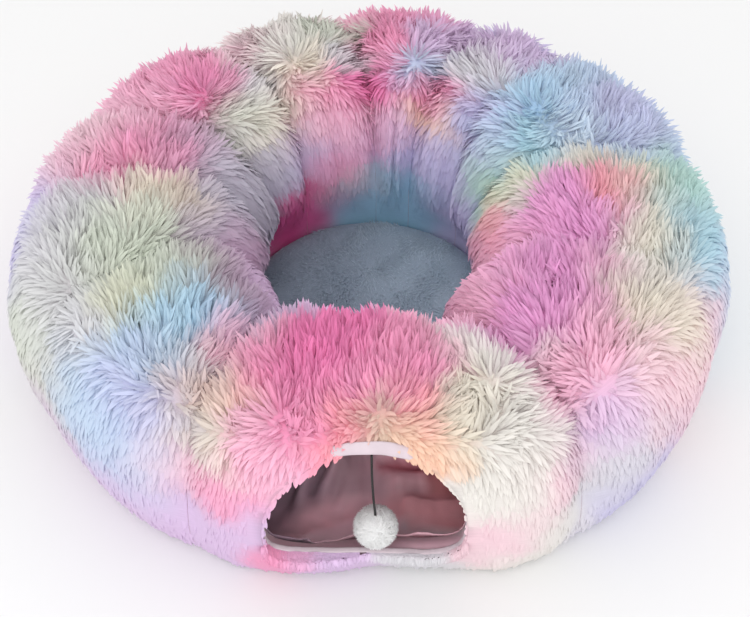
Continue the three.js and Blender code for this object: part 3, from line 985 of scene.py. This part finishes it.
def lipLocks(rng):
    # pile that falls from the piping over the front of the sill
    count = lip["locks"]
    turn = np.radians(rng.uniform(lip["from"], lip["to"], count))
    power = mouth["powerBelow"]
    x = mouth["centreX"] + np.sign(np.cos(turn)) * abs(np.cos(turn)) ** power * (
        mouth["halfWidth"] + 2)
    z = mouth["widest"] + sillRise(x) - abs(np.sin(turn)) ** power * (
        mouth["widest"] - mouth["bottom"] + 1.5)
    angle = np.degrees(np.arctan2(-mouth["lowReach"], x)) + 360
    share = (angle - seams["frontLeft"]["outerAngle"]) / lip["panelTurn"]
    front = np.interp(share, panelStations["at"], panelStations["outer"]) - lip["belly"]
    deep = np.maximum(np.sqrt(front ** 2 - x ** 2) - mouth["lowReach"], 4.0)
    forward = rng.uniform(0.0, 1.0, count) ** 1.5 * deep
    ledge = deep - forward
    y = ring["centreY"] - mouth["lowReach"] - 2.0 - forward
    start = np.stack([x, y, z], axis=1) * metre
    sway = rng.normal(size=count) * 1.2
    reach = lip["length"] * rng.uniform(0.75, 1.15, count)
    zero = np.zeros(count)
    bend = start + np.stack([sway * 0.5, -reach * 0.15 - ledge * 0.7, zero + 1.5], axis=1) * metre
    end = bend + np.stack([sway, -reach * 0.1 - ledge * 0.2, -reach * 0.75], axis=1) * metre
    facing = unit(np.stack([zero, zero - 0.75, zero + 0.66], axis=1))
    side = np.stack([zero + 1, rng.normal(size=count) * 0.2, zero], axis=1)
    colour = dyeAndLightAt(end) * (1 + 0.05 * rng.normal(size=(count, 1)))
    width = lip["width"] * rng.uniform(0.7, 1.3, count) * metre
    return lockMesh(3, start, end, bend, side, width, np.clip(colour, 0, brightest), 0.0,
                    facing, 0.75, 0.8)


def surfaceFields(outside):
    # steps along and round the backing, its area and its outward normals, at every grid point
    edges = easedRows(len(outside) - 1)
    along = np.gradient(outside, edges, axis=0)
    wrapped = np.concatenate([outside[:, -1:], outside, outside[:, :1]], axis=1)
    turnwise = (wrapped[:, 2:] - wrapped[:, :-2]) * ring["around"] / 2
    normals = np.cross(turnwise, along)
    area = np.linalg.norm(normals, axis=2, keepdims=True)
    normals = unit(normals)
    if ((outside - outside.mean(axis=1, keepdims=True)) * normals).sum() < 0:
        normals = -normals
    return edges, along, turnwise, area, normals


def scatterRoots(spec, outside, edges, area, seed, rng):
    # places spread evenly over the backing, fewer where the pile is hidden
    total = spec["locks"]
    a, b = scattered(total * sowing["tries"], seed).T
    rowPlace = np.interp(a, edges, np.linspace(0, 1, len(edges)))
    place = gridSample(outside, rowPlace, b)
    height = place[:, 2] / metre
    want = 0.42 + 0.58 * smoothStep(height, *sowing["thickens"])
    want = np.where(height > sowing["above"], want, 0.0)
    want *= np.where((b > 0.5) & (height < sowing["matSideBelow"]), 0.8, 1.0)
    want *= 0.72 + 0.28 * smoothStep(-place[:, 1] / metre, *sowing["nears"])
    if spec is panel:
        gap = mouthGap(place, 0.5 + 3.0 * bandShare(mouthTurn(place)))
        want = np.where((gap > 0) | (place[:, 1] > frontFrom), want, 0.0)
    spread = gridSample(area, rowPlace, b)[:, 0] * want
    limit = spread.max()
    while np.minimum(spread / limit, 1.0).sum() <= total:
        limit *= sowing["easing"]
    kept = np.flatnonzero(rng.random(len(spread)) < spread / limit)[:total]
    return rowPlace[kept], a[kept], b[kept]


def plantRoots(spec, outside, seed, rng):
    # the place of every lock, its directions there and how upright it stands
    edges, along, turnwise, area, normals = surfaceFields(outside)
    rowPlace, a, b = scatterRoots(spec, outside, edges, area, seed, rng)
    base = gridSample(outside, rowPlace, b)
    normal = unit(gridSample(normals, rowPlace, b))
    down = unit(gridSample(turnwise, rowPlace, b) * np.where(b < 0.5, 1.0, -1.0)[:, None])
    across = unit(np.cross(normal, down))
    turnSign = np.sign((across * gridSample(along, rowPlace, b)).sum(1))
    spoke = unit((base - [0.0, ring["centreY"] * metre, 0.0]) * [1.0, 1.0, 0.0])
    facingOut = abs((normal * spoke).sum(1))
    seamward = a * 2 - 1
    upright = uprightShare(base) * (1 - pile["sideCalm"] * smoothStep(facingOut, 0.3, 0.75))
    return {"base": base, "normal": normal, "down": down, "across": across, "upright": upright,
            "seamward": seamward * abs(seamward) * turnSign}


def combLocks(roots, seed, rng):
    # down the sides, out from the middle of each puff and away from the partings
    base, normal, down, across, upright, seamward = roots.values()
    count = len(base)
    comb = down * (0.04 + 1.2 * (1 - upright))[:, None]
    comb += across * (seamward * onCrest("comb", upright))[:, None]
    comb[:, 1] += upright * (1 - smoothStep(base[:, 1] / metre, 140, 260))
    near = np.zeros(count)
    heart = np.zeros(count)
    for place, (_, _, reach, lying) in zip(placesOf(partings), partings):
        away = onMeanRing(base) - place
        far = np.linalg.norm(away, axis=1)
        weight = np.exp(-(far / (reach * metre)) ** 2)
        comb += unit(flattened(away, normal)) * (weight * 1.8)[:, None]
        near = np.maximum(near, weight * lying)
        heart = np.maximum(heart, np.exp(-(far / 0.009) ** 2))
    for direction, pitch, step, name in ((down, 0.06, 1, "loose"), (across, 0.05, 2, "loose"),
                                         (across, 0.016, 3, "fine")):
        comb += direction * (wander(base, pitch, seed + step) * onCrest(name, upright))[:, None]
    comb += rng.normal(size=(count, 3)) * onCrest("stray", upright)[:, None]
    return unit(flattened(comb, normal)), upright * (1 - 0.5 * near * (1 - heart))


def standAngle(rise, roots, seed, rng):
    # upright on the crest, flat on the sides, and nowhere even
    uneven = 8 * wander(roots["base"], 0.03, seed + 4) + 6 * rng.normal(size=len(rise))
    stand = pile["stand"] + (pile["crestStand"] - pile["stand"]) * rise
    stand += uneven * roots["upright"]
    stand += rng.normal(size=len(rise)) * 1.2
    return np.radians(np.clip(stand, 5, 84))


def trimShare(base):
    # the pile is cut short round the entrance, and hangs ragged at its upper left
    height = base[:, 2] / metre
    gap = mouthGap(base, 2.0 * bandShare(mouthTurn(base)))
    gap = np.where((base[:, 1] < frontFrom) & (height >= mouth["bottom"] + 12), gap, 99.0)
    trimmed = np.clip(0.3 + gap / 34, 0.3, 1.0)
    ragged = (base[:, 0] < -0.05) & (height > 80)
    return np.where(ragged, np.maximum(trimmed, 0.6), trimmed)


def clumpTips(roots, end, bend, seed, rng):
    # neighbouring tips draw together: a clump is a cube of space, with uneven sides
    base = roots["base"]
    shifted = base + roots["across"] * (wander(base, 0.02, seed + 5) * 0.004)[:, None]
    shifted = shifted + roots["down"] * (wander(base, 0.02, seed + 6) * 0.004)[:, None]
    cells = np.floor(shifted / (pile["clumpPitch"] * metre) + 1000).astype(np.int64)
    _, member = np.unique(cells @ [4000 * 4000, 4000, 1], return_inverse=True)
    groups = member.max() + 1
    counts = np.bincount(member, minlength=groups)
    centre = np.stack([np.bincount(member, end[:, k], groups) / counts for k in range(3)], axis=1)
    centre = centre[member]
    pull = pile["clumpPull"] * rng.uniform(0.6, 1.3, len(end)) * onCrest("pull", roots["upright"])
    end = end + (centre - end) * pull[:, None]
    bend = bend + (centre - bend) * (pull * 0.2)[:, None]
    return end, bend, member, groups


def growPile(name, spec, outside, seed):
    rng = np.random.default_rng(seed)
    roots = plantRoots(spec, outside, seed, rng)
    base = roots["base"]
    normal = roots["normal"]
    upright = roots["upright"]
    lowSide = 1 - upright
    count = len(base)
    comb, rise = combLocks(roots, seed, rng)
    stand = standAngle(rise, roots, seed, rng)
    guard = rng.random(count) < pile["guardShare"]
    length = (pile["length"] + (pile["crestLength"] - pile["length"]) * upright) * metre
    length *= np.where(guard, 1.0, pile["underShare"])
    length *= 1 + rng.uniform(-0.18, 0.16, count)
    length *= 0.72 + 0.28 * smoothStep(base[:, 2] / metre, 10, 90)
    if spec is panel:
        length *= trimShare(base)
    width = (pile["width"] + (pile["crestWidth"] - pile["width"]) * upright) * metre
    width *= rng.uniform(0.75, 1.25, count)

    # each lock bends once, towards the backing and the floor
    start = base - normal * pile["sunk"] * metre
    first = normal * np.sin(stand)[:, None] + comb * np.cos(stand)[:, None]
    settle = np.clip(stand - np.radians(6 + 8 * lowSide), np.radians(1), 1.4)
    second = normal * np.sin(settle)[:, None] + comb * np.cos(settle)[:, None]
    second[:, 2] -= 0.1
    bend = start + first * (length * 0.5)[:, None]
    end = bend + unit(second) * (length * 0.55)[:, None]
    end, bend, member, groups = clumpTips(roots, end, bend, seed, rng)
    for points, clear in ((end, "tipFloor"), (bend, "tipFloor"), (start, "rootFloor")):
        points[:, 2] = np.maximum(points[:, 2], pile[clear] * metre)

    colour = dyeAndLightAt(base * 0.3 + end * 0.7)
    tone = 1 + rng.normal(size=count) * onCrest("tone", upright)
    tone = tone + rng.normal(size=groups)[member] * onCrest("clumpTone", upright)
    # painted shade: under locks are darker on the crest, where the guard locks shade them, and all
    # locks are darker where the pile lies low on the sides
    tone = tone * np.where(guard, 1.01, 1.0 - 0.06 * upright) * (1 + pile["lowLight"] * lowSide)
    colour = np.clip(colour * tone[:, None], 0, brightest)
    turned = unit(np.cross(normal, comb))
    turned += rng.normal(size=(count, 3)) * onCrest("turned", upright)[:, None]
    values = (start, end, bend, turned, width, colour, pile["lowRoot"] * lowSide, normal,
              onCrest("facing", upright), onCrest("thick", upright))
    parts = [lockMesh(rings, *(value[chosen] for value in values))
             for chosen, rings in ((guard, 3), (~guard, 2))]
    if spec is panel:
        parts.append(lipLocks(rng))
    data = joinData(parts)
    return meshFromData(name, data, plushMaterial), data["normals"]


def dressWall(piece):
    # the backing takes the pile's dye, with the painted root shade that stands for the shade under the
    # locks
    points = meshPoints(piece.data)
    lowSide = 1 - uprightShare(points)
    # painted shade: the backing is darker where it lies low on the sides
    colour = dyeAndLightAt(points) * (1 + pile["lowLight"] * lowSide)[:, None]
    addDyeLightAndShade(piece.data, np.clip(colour, 0, brightest), pile["lowRoot"] * lowSide)


def plushPiece(spec, wall, outside, seed):
    dressWall(wall)
    locks, facing = growPile(spec["piece"] + "Pile", spec, outside, seed)
    return joinPieces(spec["piece"], wall, locks, facing)


def handOver(piece, node):
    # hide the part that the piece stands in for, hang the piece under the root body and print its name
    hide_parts(node)
    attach(piece, "root")
    print("made:", piece.name)


for number, gore in enumerate(gores):
    wall, outside = tubeWall(gore["piece"], gore, 20, 6, ((0.0, 0.0), (1.0, backingMap)))
    handOver(plushPiece(gore, wall, outside, 20 + number), gore["node"])


# Front panel
def mouthPoint(turn, margin):
    above = math.sin(turn) >= 0
    power = mouth["powerAbove"] if above else mouth["powerBelow"]
    half = mouth["top"] - mouth["widest"] if above else mouth["widest"] - mouth["bottom"]
    across = math.copysign(abs(math.cos(turn)) ** power, math.cos(turn))
    up = math.copysign(abs(math.sin(turn)) ** power, math.sin(turn))
    return (mouth["centreX"] + across * (mouth["halfWidth"] + margin),
            mouth["widest"] + up * (half + margin))


def mouthY(height):
    share = float(smoothStep(height, mouth["widest"], mouth["top"]))
    return ring["centreY"] - (mouth["lowReach"] + (mouth["highReach"] - mouth["lowReach"]) * share)


def cutMouth(piece, uvBox):
    # a prism in the entrance's outline is taken out of the front wall only
    bm = bmesh.new()
    layer = bm.loops.layers.uv.new("OFBake")
    back = (ring["centreY"] - mouth["cutFrom"]) * metre
    deep = mouth["cutTo"] - mouth["cutFrom"]
    steps = 72
    verts = []
    for i in range(steps):
        turn = i / steps * 2 * math.pi
        x, z = mouthPoint(turn, 2.0 + 1.5 * float(bandShare(turn)))
        verts.append(bm.verts.new((x * metre, back, z * metre)))
    moved = bmesh.ops.extrude_face_region(bm, geom=[bm.faces.new(verts)])
    front = [item for item in moved["geom"] if isinstance(item, bmesh.types.BMVert)]
    bmesh.ops.translate(bm, verts=front, vec=(0, -deep * metre, 0))
    bmesh.ops.recalc_face_normals(bm, faces=bm.faces)
    low, high = uvBox
    for face in bm.faces:
        for loop in face.loops:
            turn = (math.atan2(loop.vert.co.z - 0.12, loop.vert.co.x) / math.pi + 1) / 2
            depth = (loop.vert.co.y / metre - ring["centreY"] + mouth["cutTo"]) / deep
            loop[layer].uv = (low[0] + (high[0] - low[0]) * depth, low[1] + (high[1] - low[1]) * turn)
        face.material_index = 1
    cutter = pieceFrom(bm, "mouthPrism", plushMaterial, wallMaterial)
    prism = cutter.data
    cut = piece.modifiers.new("mouth", "BOOLEAN")
    cut.operation = "DIFFERENCE"
    cut.solver = "EXACT"
    cut.object = cutter
    depsgraph = bpy.context.evaluated_depsgraph_get()
    opened = bpy.data.meshes.new_from_object(piece.evaluated_get(depsgraph))
    piece.modifiers.clear()
    old = piece.data
    piece.data = opened
    bpy.data.objects.remove(cutter)
    bpy.data.meshes.remove(old)
    bpy.data.meshes.remove(prism)


wall, outside = tubeWall(panel["piece"], panel, 32, 16, ((0.0, 0.0), (0.94, backingMap)))
cutMouth(wall, ((0.95, 0.0), (1.0, backingMap)))
handOver(plushPiece(panel, wall, outside, 40), panel["node"])


# Lining
lining = {
    "node": "front_lining",
    "inset": 27.5,
    "floor": 13.5,
    "thickness": 1.2,
    "pleat": 5.0,
    "lines": 100,
    "around": 120,
    "slack": 26.0,
    "along": 300.0,  # rough size of the sheet, which turns its shares into millimetres
    "across": 800.0,
    "edge": 3.0,  # how far outside the entrance's outline it ends
    "frontY": -330.0,  # the cut edge lies in front of this, and within edgeReach of the middle
    "edgeReach": 130.0,
}

# folds seen through the entrance: place across (0 to 1) and round the tube at both ends,
# half width in millimetres, depth
liningFolds = [
    ((0.43, 0.64), (0.31, 0.49), 7.0, 10.0), ((0.395, 0.64), (0.265, 0.485), 5.0, -9.0),
    ((0.35, 0.64), (0.225, 0.48), 7.0, 11.0), ((0.26, 0.6), (0.184, 0.45), 5.0, -8.0),
    ((0.2, 0.6), (0.13, 0.47), 7.0, 8.0), ((0.21, 0.44), (0.46, 0.468), 5.0, -9.0),
    ((0.53, 0.523), (0.74, 0.517), 5.0, -11.0), ((0.53, 0.56), (0.72, 0.565), 10.0, 11.0),
    ((0.58, 0.494), (0.68, 0.5), 7.0, 8.0), ((0.6, 0.468), (0.86, 0.466), 5.0, 10.0),
    ((0.6, 0.445), (0.86, 0.44), 5.0, -8.0), ((0.6, 0.42), (0.86, 0.418), 5.0, 7.0),
]

# tones of the velour, its own colour with painted light on fold ridges and painted shade in fold
# valleys: place across, place round the tube, spreads of both, colour
liningTonesLightAndShade = [
    (0.2, 0.55, 0.1, 0.08, "#a08896"), (0.1, 0.5, 0.1, 0.1, "#8d7484"),
    (0.42, 0.6, 0.09, 0.06, "#b8a0aa"), (0.42, 0.52, 0.08, 0.03, "#b3919c"),
    (0.62, 0.56, 0.09, 0.03, "#e2b2c0"), (0.64, 0.52, 0.1, 0.012, "#c06674"),
    (0.62, 0.495, 0.05, 0.014, "#d0a2ac"), (0.78, 0.5, 0.07, 0.03, "#c07478"),
    (0.34, 0.455, 0.1, 0.014, "#e6b0bc"), (0.72, 0.466, 0.1, 0.01, "#dc9aa2"),
    (0.4, 0.425, 0.18, 0.014, "#f0c4ce"), (0.72, 0.42, 0.14, 0.014, "#f6d4da"),
    (0.5, 0.9, 0.4, 0.2, "#dcb0bb"),
]


def foldField(at, around, spread):
    # depth of the folds at a place, each one a soft ridge between its two ends
    size = np.array([lining["along"], lining["across"]])
    field = 0.0
    for begin, finish, wide, depth in liningFolds:
        run = (np.array(finish) - begin) * size
        x = (at - begin[0]) * size[0]
        y = (around - begin[1]) * size[1]
        share = np.clip((x * run[0] + y * run[1]) / (run @ run), 0, 1)
        far = np.hypot(x - share * run[0], y - share * run[1])
        field = field + depth * np.exp(-(far / (wide * spread)) ** 2)
    return field


def liningRelief(spec, at, around, height, swell):
    # loose cloth: it stands off the mat side and the floor, and gathers into folds
    pleat = 0.5 + 0.5 * np.sin(at * 37 + 3 * np.sin(around * 12))
    sunk = pleat * lining["pleat"] * swell
    sunk = sunk + lining["slack"] * smoothStep(around, 0.445, 0.56) * (
        1 - smoothStep(around, 0.68, 0.9)) * swell
    sunk = sunk + foldField(at, around, 1.0)
    sunk = sunk + 1.2 * np.sin(at * 110 + 9 * np.sin(around * 21)) * np.sin(around * 40 + at * 13)
    return sinkRelief(spec, at, around, height, swell) - np.maximum(sunk, 0.0)


def liningToneLightAndShade(at, around):
    colour = meanColour(
        (np.exp(-((at - x) / wide) ** 2 - ((around - y) / long) ** 2) + 1e-6, np.array(linear(code)))
        for x, y, wide, long, code in liningTonesLightAndShade)
    # painted light along the fold ridges and painted shade along the fold valleys
    shade = 1.25 + 0.05 * foldField(at, around, 1.0) - 0.03 * foldField(at, around, 2.2)
    return np.clip(colour * np.clip(shade, 0.5, 1.5)[:, None], 0, brightest)


def makeLining():
    rows = ringRows(panel, np.linspace(0, 1, lining["lines"] + 1), [lining["inset"]] * 3,
                    lining["floor"], lining["inset"] + 3, liningRelief, lining["around"])
    rows = np.concatenate([rows, rows[:, :1]], axis=1)
    bm = bmesh.new()
    placeGrid(bm, rows, ((0.0, 0.0), (1.0, 1.0)))
    weld(bm)

    def scaleAt(place):
        return float(mouthScale(np.array([place]), lining["edge"])[0])

    middles = [(face, face.calc_center_median()) for face in bm.faces]
    frontY = lining["frontY"] * metre
    inside = [face for face, middle in middles if middle.y < frontY and scaleAt(middle) < 1]
    bmesh.ops.delete(bm, geom=inside, context="FACES")
    middleX = mouth["centreX"] * metre
    middleZ = mouth["widest"] * metre
    for vertex in bm.verts:
        near = vertex.co.y < frontY and abs(vertex.co.x) < lining["edgeReach"] * metre
        if vertex.is_boundary and near:
            # the cut edge follows the entrance's outline
            scale = scaleAt(vertex.co)
            vertex.co.x = middleX + (vertex.co.x - middleX) / scale
            vertex.co.z = middleZ + (vertex.co.z - middleZ) / scale
    bm.verts.index_update()
    layer = bm.loops.layers.uv["OFBake"]
    spots = np.zeros((len(bm.verts), 2))
    for face in bm.faces:
        for loop in face.loops:
            spots[loop.vert.index] = loop[layer].uv
    piece = pieceFrom(bm, "entranceLining", liningMaterial)
    addDyeLightAndShade(piece.data, liningToneLightAndShade(spots[:, 1], spots[:, 0]), 1.0)
    thick = piece.modifiers.new("cloth", "SOLIDIFY")
    thick.thickness = lining["thickness"] * metre
    thick.offset = 0.0
    return piece


liningPiece = makeLining()
handOver(liningPiece, lining["node"])


# Binding
binding = {
    "node": "mouth_binding",
    "steps": 180,
    "bandWidth": 12.0,
    "pipingWidth": 2.6,
    "bandDepth": 11.0,
    "pipingDepth": 3.5,
    "wave": 2.4,
    "leanBack": 9.0,
}


def makeBinding():
    # a folded tape: flat on the plush, round over the edge and back to the lining
    rows = []
    for i in range(binding["steps"] + 1):
        turn = (i % binding["steps"]) / binding["steps"] * 2 * math.pi
        below = max(0.0, -math.sin(turn))
        band = float(bandShare(turn))
        wide = binding["pipingWidth"] + (binding["bandWidth"] - binding["pipingWidth"]) * band
        deep = binding["pipingDepth"] + (binding["bandDepth"] - binding["pipingDepth"]) * band
        wave = math.sin(turn * 9 + 0.6) + 0.6 * math.sin(turn * 23)
        wave *= binding["wave"] * (0.2 + 0.8 * below)
        x, z = mouthPoint(turn, wave * 0.6)
        y = mouthY(z)
        farX, farZ = mouthPoint(turn, wide + wave * 0.6)
        lifted = float(sillRise(x)) * min(1.0, below * 3)
        z += lifted
        farZ += lifted
        row = []
        for share, depth in ((1.0, 0.5), (1.0, -1.6), (0.6, -3.0), (0.25, -2.7), (0.03, -1.0),
                             (0.0, 2.0), (0.06, deep * 0.6), (0.25, deep), (0.45, deep),
                             (0.3, deep * 0.5)):
            back = binding["leanBack"] * band * share ** 2
            row.append((x + (farX - x) * share, y + depth + back + wave * 0.5,
                        z + (farZ - z) * share))
        rows.append(row + row[:1])
    bm = bmesh.new()
    placeGrid(bm, np.array(rows) * metre, ((0.0, 0.0), (1.0, 1.0)))
    weld(bm)
    piece = pieceFrom(bm, "entranceBinding", bindingMaterial)
    smooth = piece.modifiers.new("smooth", "SUBSURF")
    smooth.levels = 1
    smooth.render_levels = 1
    return piece


handOver(makeBinding(), binding["node"])


# Mat
mat = {
    "node": "centre_mat",
    "radius": 178.0,
    "height": 34.0,
    "seamHeight": 16.0,
    "rings": 22,
    "round": 72,
    "nap": 11500,
    "napLength": 6.5,
    "napWidth": 2.2,
}
matColoursAndLight = [
    # x and y from the ring's middle, spread, colour of the nap; the spots on the right are painted
    # lighter against the shadow that the fur casts there
    (-120, 20, 80, "#8b95a4"), (-40, 60, 80, "#93a0af"), (30, 20, 70, "#9bafbe"),
    (90, 60, 70, "#c2d4e3"), (120, -20, 70, "#c8dcec"), (0, -90, 80, "#98a6b5"),
    (60, 130, 60, "#a0b2c0"), (-80, -110, 80, "#909aa9"), (-60, 130, 60, "#8c97a6"),
]


def matHeight(radius, angle):
    # softly crowned, drawn in over its rim seam
    share = np.clip(radius / mat["radius"], 0, 1)
    crown = mat["seamHeight"] + (mat["height"] - mat["seamHeight"]) * (1 - share ** 7) ** 0.6
    ripple = 0.9 * np.sin(angle * 5 + radius / 31) + 0.8 * np.sin(radius / 17 - angle * 2)
    return crown + ripple * (1 - share ** 4)


def matColourAndLight(points):
    x = points[:, 0] / metre
    y = points[:, 1] / metre - ring["centreY"]
    return meanColour(
        (np.exp(-((x - spotX) ** 2 + (y - spotY) ** 2) / (2 * spread ** 2)) + 1e-9,
         np.array(linear(code)))
        for spotX, spotY, spread, code in matColoursAndLight)


def makeMat():
    angles = np.arange(mat["round"] + 1) % mat["round"] / mat["round"] * 2 * math.pi
    level = np.ones(len(angles))
    rim = [(0.001, 0.0), (0.5, 0.0), (0.93, 0.0), (0.985, 5.0), (1.0, mat["seamHeight"] - 1.5),
           (0.988, mat["seamHeight"]), (1.0, mat["seamHeight"] + 1.5)]
    rows = [onRing(share * mat["radius"], angles, level * height) for share, height in rim]
    for k in range(1, mat["rings"] + 1):
        radius = (math.cos(k / mat["rings"] * math.pi / 2) * 0.998 + 0.001) * mat["radius"]
        rows.append(onRing(radius, angles, matHeight(level * radius, angles)))
    bm = bmesh.new()
    placeGrid(bm, np.array(rows) * metre, ((0.0, 0.0), (1.0, backingMap)))
    bmesh.ops.remove_doubles(bm, verts=bm.verts, dist=weldReach)
    bmesh.ops.holes_fill(bm, edges=bm.edges)
    bmesh.ops.recalc_face_normals(bm, faces=bm.faces)
    body = pieceFrom(bm, "centreMat", matMaterial)
    # the mat's backing takes most of the painted root shade, for the shade under the nap
    addDyeLightAndShade(body.data, matColourAndLight(meshPoints(body.data)), 0.25)

    rng = np.random.default_rng(5)
    count = mat["nap"]
    picks = scattered(count, 3)
    radius = np.sqrt(picks[:, 0]) * (mat["radius"] - 4)
    angle = picks[:, 1] * 2 * math.pi
    base = onRing(radius, angle, matHeight(radius, angle) - 0.8) * metre
    drift = np.stack([wander(base, 0.07, 71), wander(base, 0.07, 72) - 0.6, np.zeros(count)], axis=1)
    comb = unit(drift + rng.normal(size=(count, 3)) * [0.25, 0.25, 0])
    normal = np.array([[0.0, 0.0, 1.0]])
    stand = np.radians(38 + 14 * wander(base, 0.04, 73) + rng.normal(size=count) * 7)[:, None]
    length = (mat["napLength"] * rng.uniform(0.75, 1.2, count) * metre)[:, None]
    first = normal * np.sin(stand) + comb * np.cos(stand)
    bend = base + first * length * 0.5
    end = bend + unit(first - normal * 0.25) * length * 0.5
    tone = 1 + 0.07 * rng.normal(size=count)
    colour = np.clip(matColourAndLight(base) * tone[:, None], 0, 1)
    sides = np.cross(comb, normal) + rng.normal(size=(count, 3)) * 0.3
    data = joinData([lockMesh(1, base, end, bend, sides, mat["napWidth"] * metre, colour, 0.2,
                              normal, 0.7, 1.0)])
    nap = meshFromData("nap", data, matMaterial)
    return joinPieces("centreMat", body, nap, data["normals"])


handOver(makeMat(), mat["node"])


# Pompom
toy = {
    "cordNode": "toy_cord",
    "pompomNode": "toy_pompom",
    "cordDiameter": 2.6,
    "cordTopX": 1.5,
    "pompomX": 6.0,
    "pompomHeight": 90.0,
    "coreRadius": 17.0,
    "reach": 26.0,
    "locks": 3100,
    "lockWidth": 1.7,
    "fluff": "#fdfdfd",
}


def makePompom():
    centre = np.array([toy["pompomX"], mouthY(mouth["top"]), toy["pompomHeight"]]) * metre
    bm = bmesh.new()
    layer = bm.loops.layers.uv.new("OFBake")
    bmesh.ops.create_uvsphere(bm, u_segments=24, v_segments=14, radius=(toy["coreRadius"] + 3) * metre)
    for face in bm.faces:
        face.smooth = True
        middle = math.atan2(face.calc_center_median().y, face.calc_center_median().x)
        for loop in face.loops:
            co = loop.vert.co
            level = math.asin(max(-1, min(1, co.z / co.length))) / math.pi + 0.5
            turn = math.atan2(co.y, co.x)
            if math.hypot(co.x, co.y) < weldReach:
                turn = middle
            turn += 2 * math.pi * round((middle - turn) / (2 * math.pi))
            loop[layer].uv = ((turn / math.pi + 1.1) / 2.2, level * backingMap)
    bmesh.ops.translate(bm, verts=bm.verts, vec=centre)
    core = pieceFrom(bm, "pompomCore", fluffMaterial)
    white = np.array(linear(toy["fluff"]))
    # the core takes most of the painted root shade, for the shade under the fluff
    addDyeLightAndShade(core.data, white, 0.3)

    rng = np.random.default_rng(9)
    count = toy["locks"]
    height = 1 - 2 * (np.arange(count) + 0.5) / count
    turn = np.arange(count) * math.pi * (3 - math.sqrt(5))
    flat = np.sqrt(1 - height ** 2)
    out = np.stack([flat * np.cos(turn), flat * np.sin(turn), height], axis=1)
    lean = out + rng.normal(size=(count, 3)) * 0.28
    start = centre + out * (toy["coreRadius"] + 1) * metre
    reach = toy["reach"] * metre * rng.uniform(0.92, 1.0, count)[:, None]
    end = centre + unit(lean) * reach
    end[:, 2] -= 0.0008
    bend = (start + centre + out * reach) / 2
    colour = np.clip(white * (1 + 0.015 * rng.normal(size=(count, 1))), 0, 1)
    sides = np.cross(out, rng.normal(size=(count, 3)))
    data = joinData([lockMesh(2, start, end, bend, sides, toy["lockWidth"] * metre, colour, 0.9,
                              out, 1.0, 1.0)])
    fluff = meshFromData("fluff", data, fluffMaterial)
    return joinPieces("toyPompom", core, fluff, data["normals"])


pompomPiece = makePompom()
handOver(pompomPiece, toy["pompomNode"])


# Cord
def makeCord():
    y = mouthY(mouth["top"])
    top = mouth["top"] - 3 * ring["clearance"]
    bottom = toy["pompomHeight"] + toy["coreRadius"] + ring["clearance"]
    middleX = toy["cordTopX"] + (toy["pompomX"] - toy["cordTopX"]) * 0.45
    curve = bpy.data.curves.new("elasticCord", "CURVE")
    curve.dimensions = "3D"
    curve.bevel_depth = toy["cordDiameter"] / 2 * metre
    curve.bevel_resolution = 3
    curve.use_fill_caps = True
    shares = np.linspace(0, 1, 17)
    across = np.interp(shares, (0.0, 0.35, 0.7, 1.0),
                       (toy["cordTopX"], toy["cordTopX"] + 0.3, middleX, toy["pompomX"]))
    across = np.convolve(np.pad(across, 2, mode="edge"), np.ones(5) / 5, mode="valid")
    spline = curve.splines.new("POLY")
    spline.points.add(len(shares) - 1)
    for point, share, x in zip(spline.points, shares, across):
        point.co = (x * metre, y * metre, (top + (bottom - top) * share) * metre, 1.0)
    piece = addPiece("toyCord", curve, cordMaterial)
    return piece, (toy["cordTopX"] * metre, y * metre, top * metre), (top - bottom) * metre


cordPiece, cordExit, cordLength = makeCord()
handOver(cordPiece, toy["cordNode"])


# Floor, sky and lamps
studio = {
    "floor": "#e9e9e9",
    "sky": 1.09,
    "lampPower": 12.0,
    "lampSize": 1.8,
    "lampPlace": (-0.25, -1.6, 1.6),
}


def makeStudio():
    bm = bmesh.new()
    bmesh.ops.create_grid(bm, x_segments=8, y_segments=8, size=6.0)
    material, _, shader = newMaterial("paleFloor")
    setSockets(shader, {"Base Color": linear(studio["floor"]) + [1.0], "Roughness": 0.9})
    pieceFrom(bm, "floor", material)

    world = bpy.data.worlds.new("softSky")
    world.use_nodes = True
    setSockets(world.node_tree.nodes["Background"],
               {"Color": (1.0, 1.0, 1.0, 1.0), "Strength": studio["sky"]})
    bpy.context.scene.world = world

    lamp = bpy.data.lights.new("softLamp", "AREA")
    lamp.energy = studio["lampPower"]
    lamp.size = studio["lampSize"]
    addAimed("softLamp", lamp, studio["lampPlace"], (0, 0, 0.1))
    bpy.context.scene.view_settings.view_transform = "Standard"


makeStudio()
print("studio made")
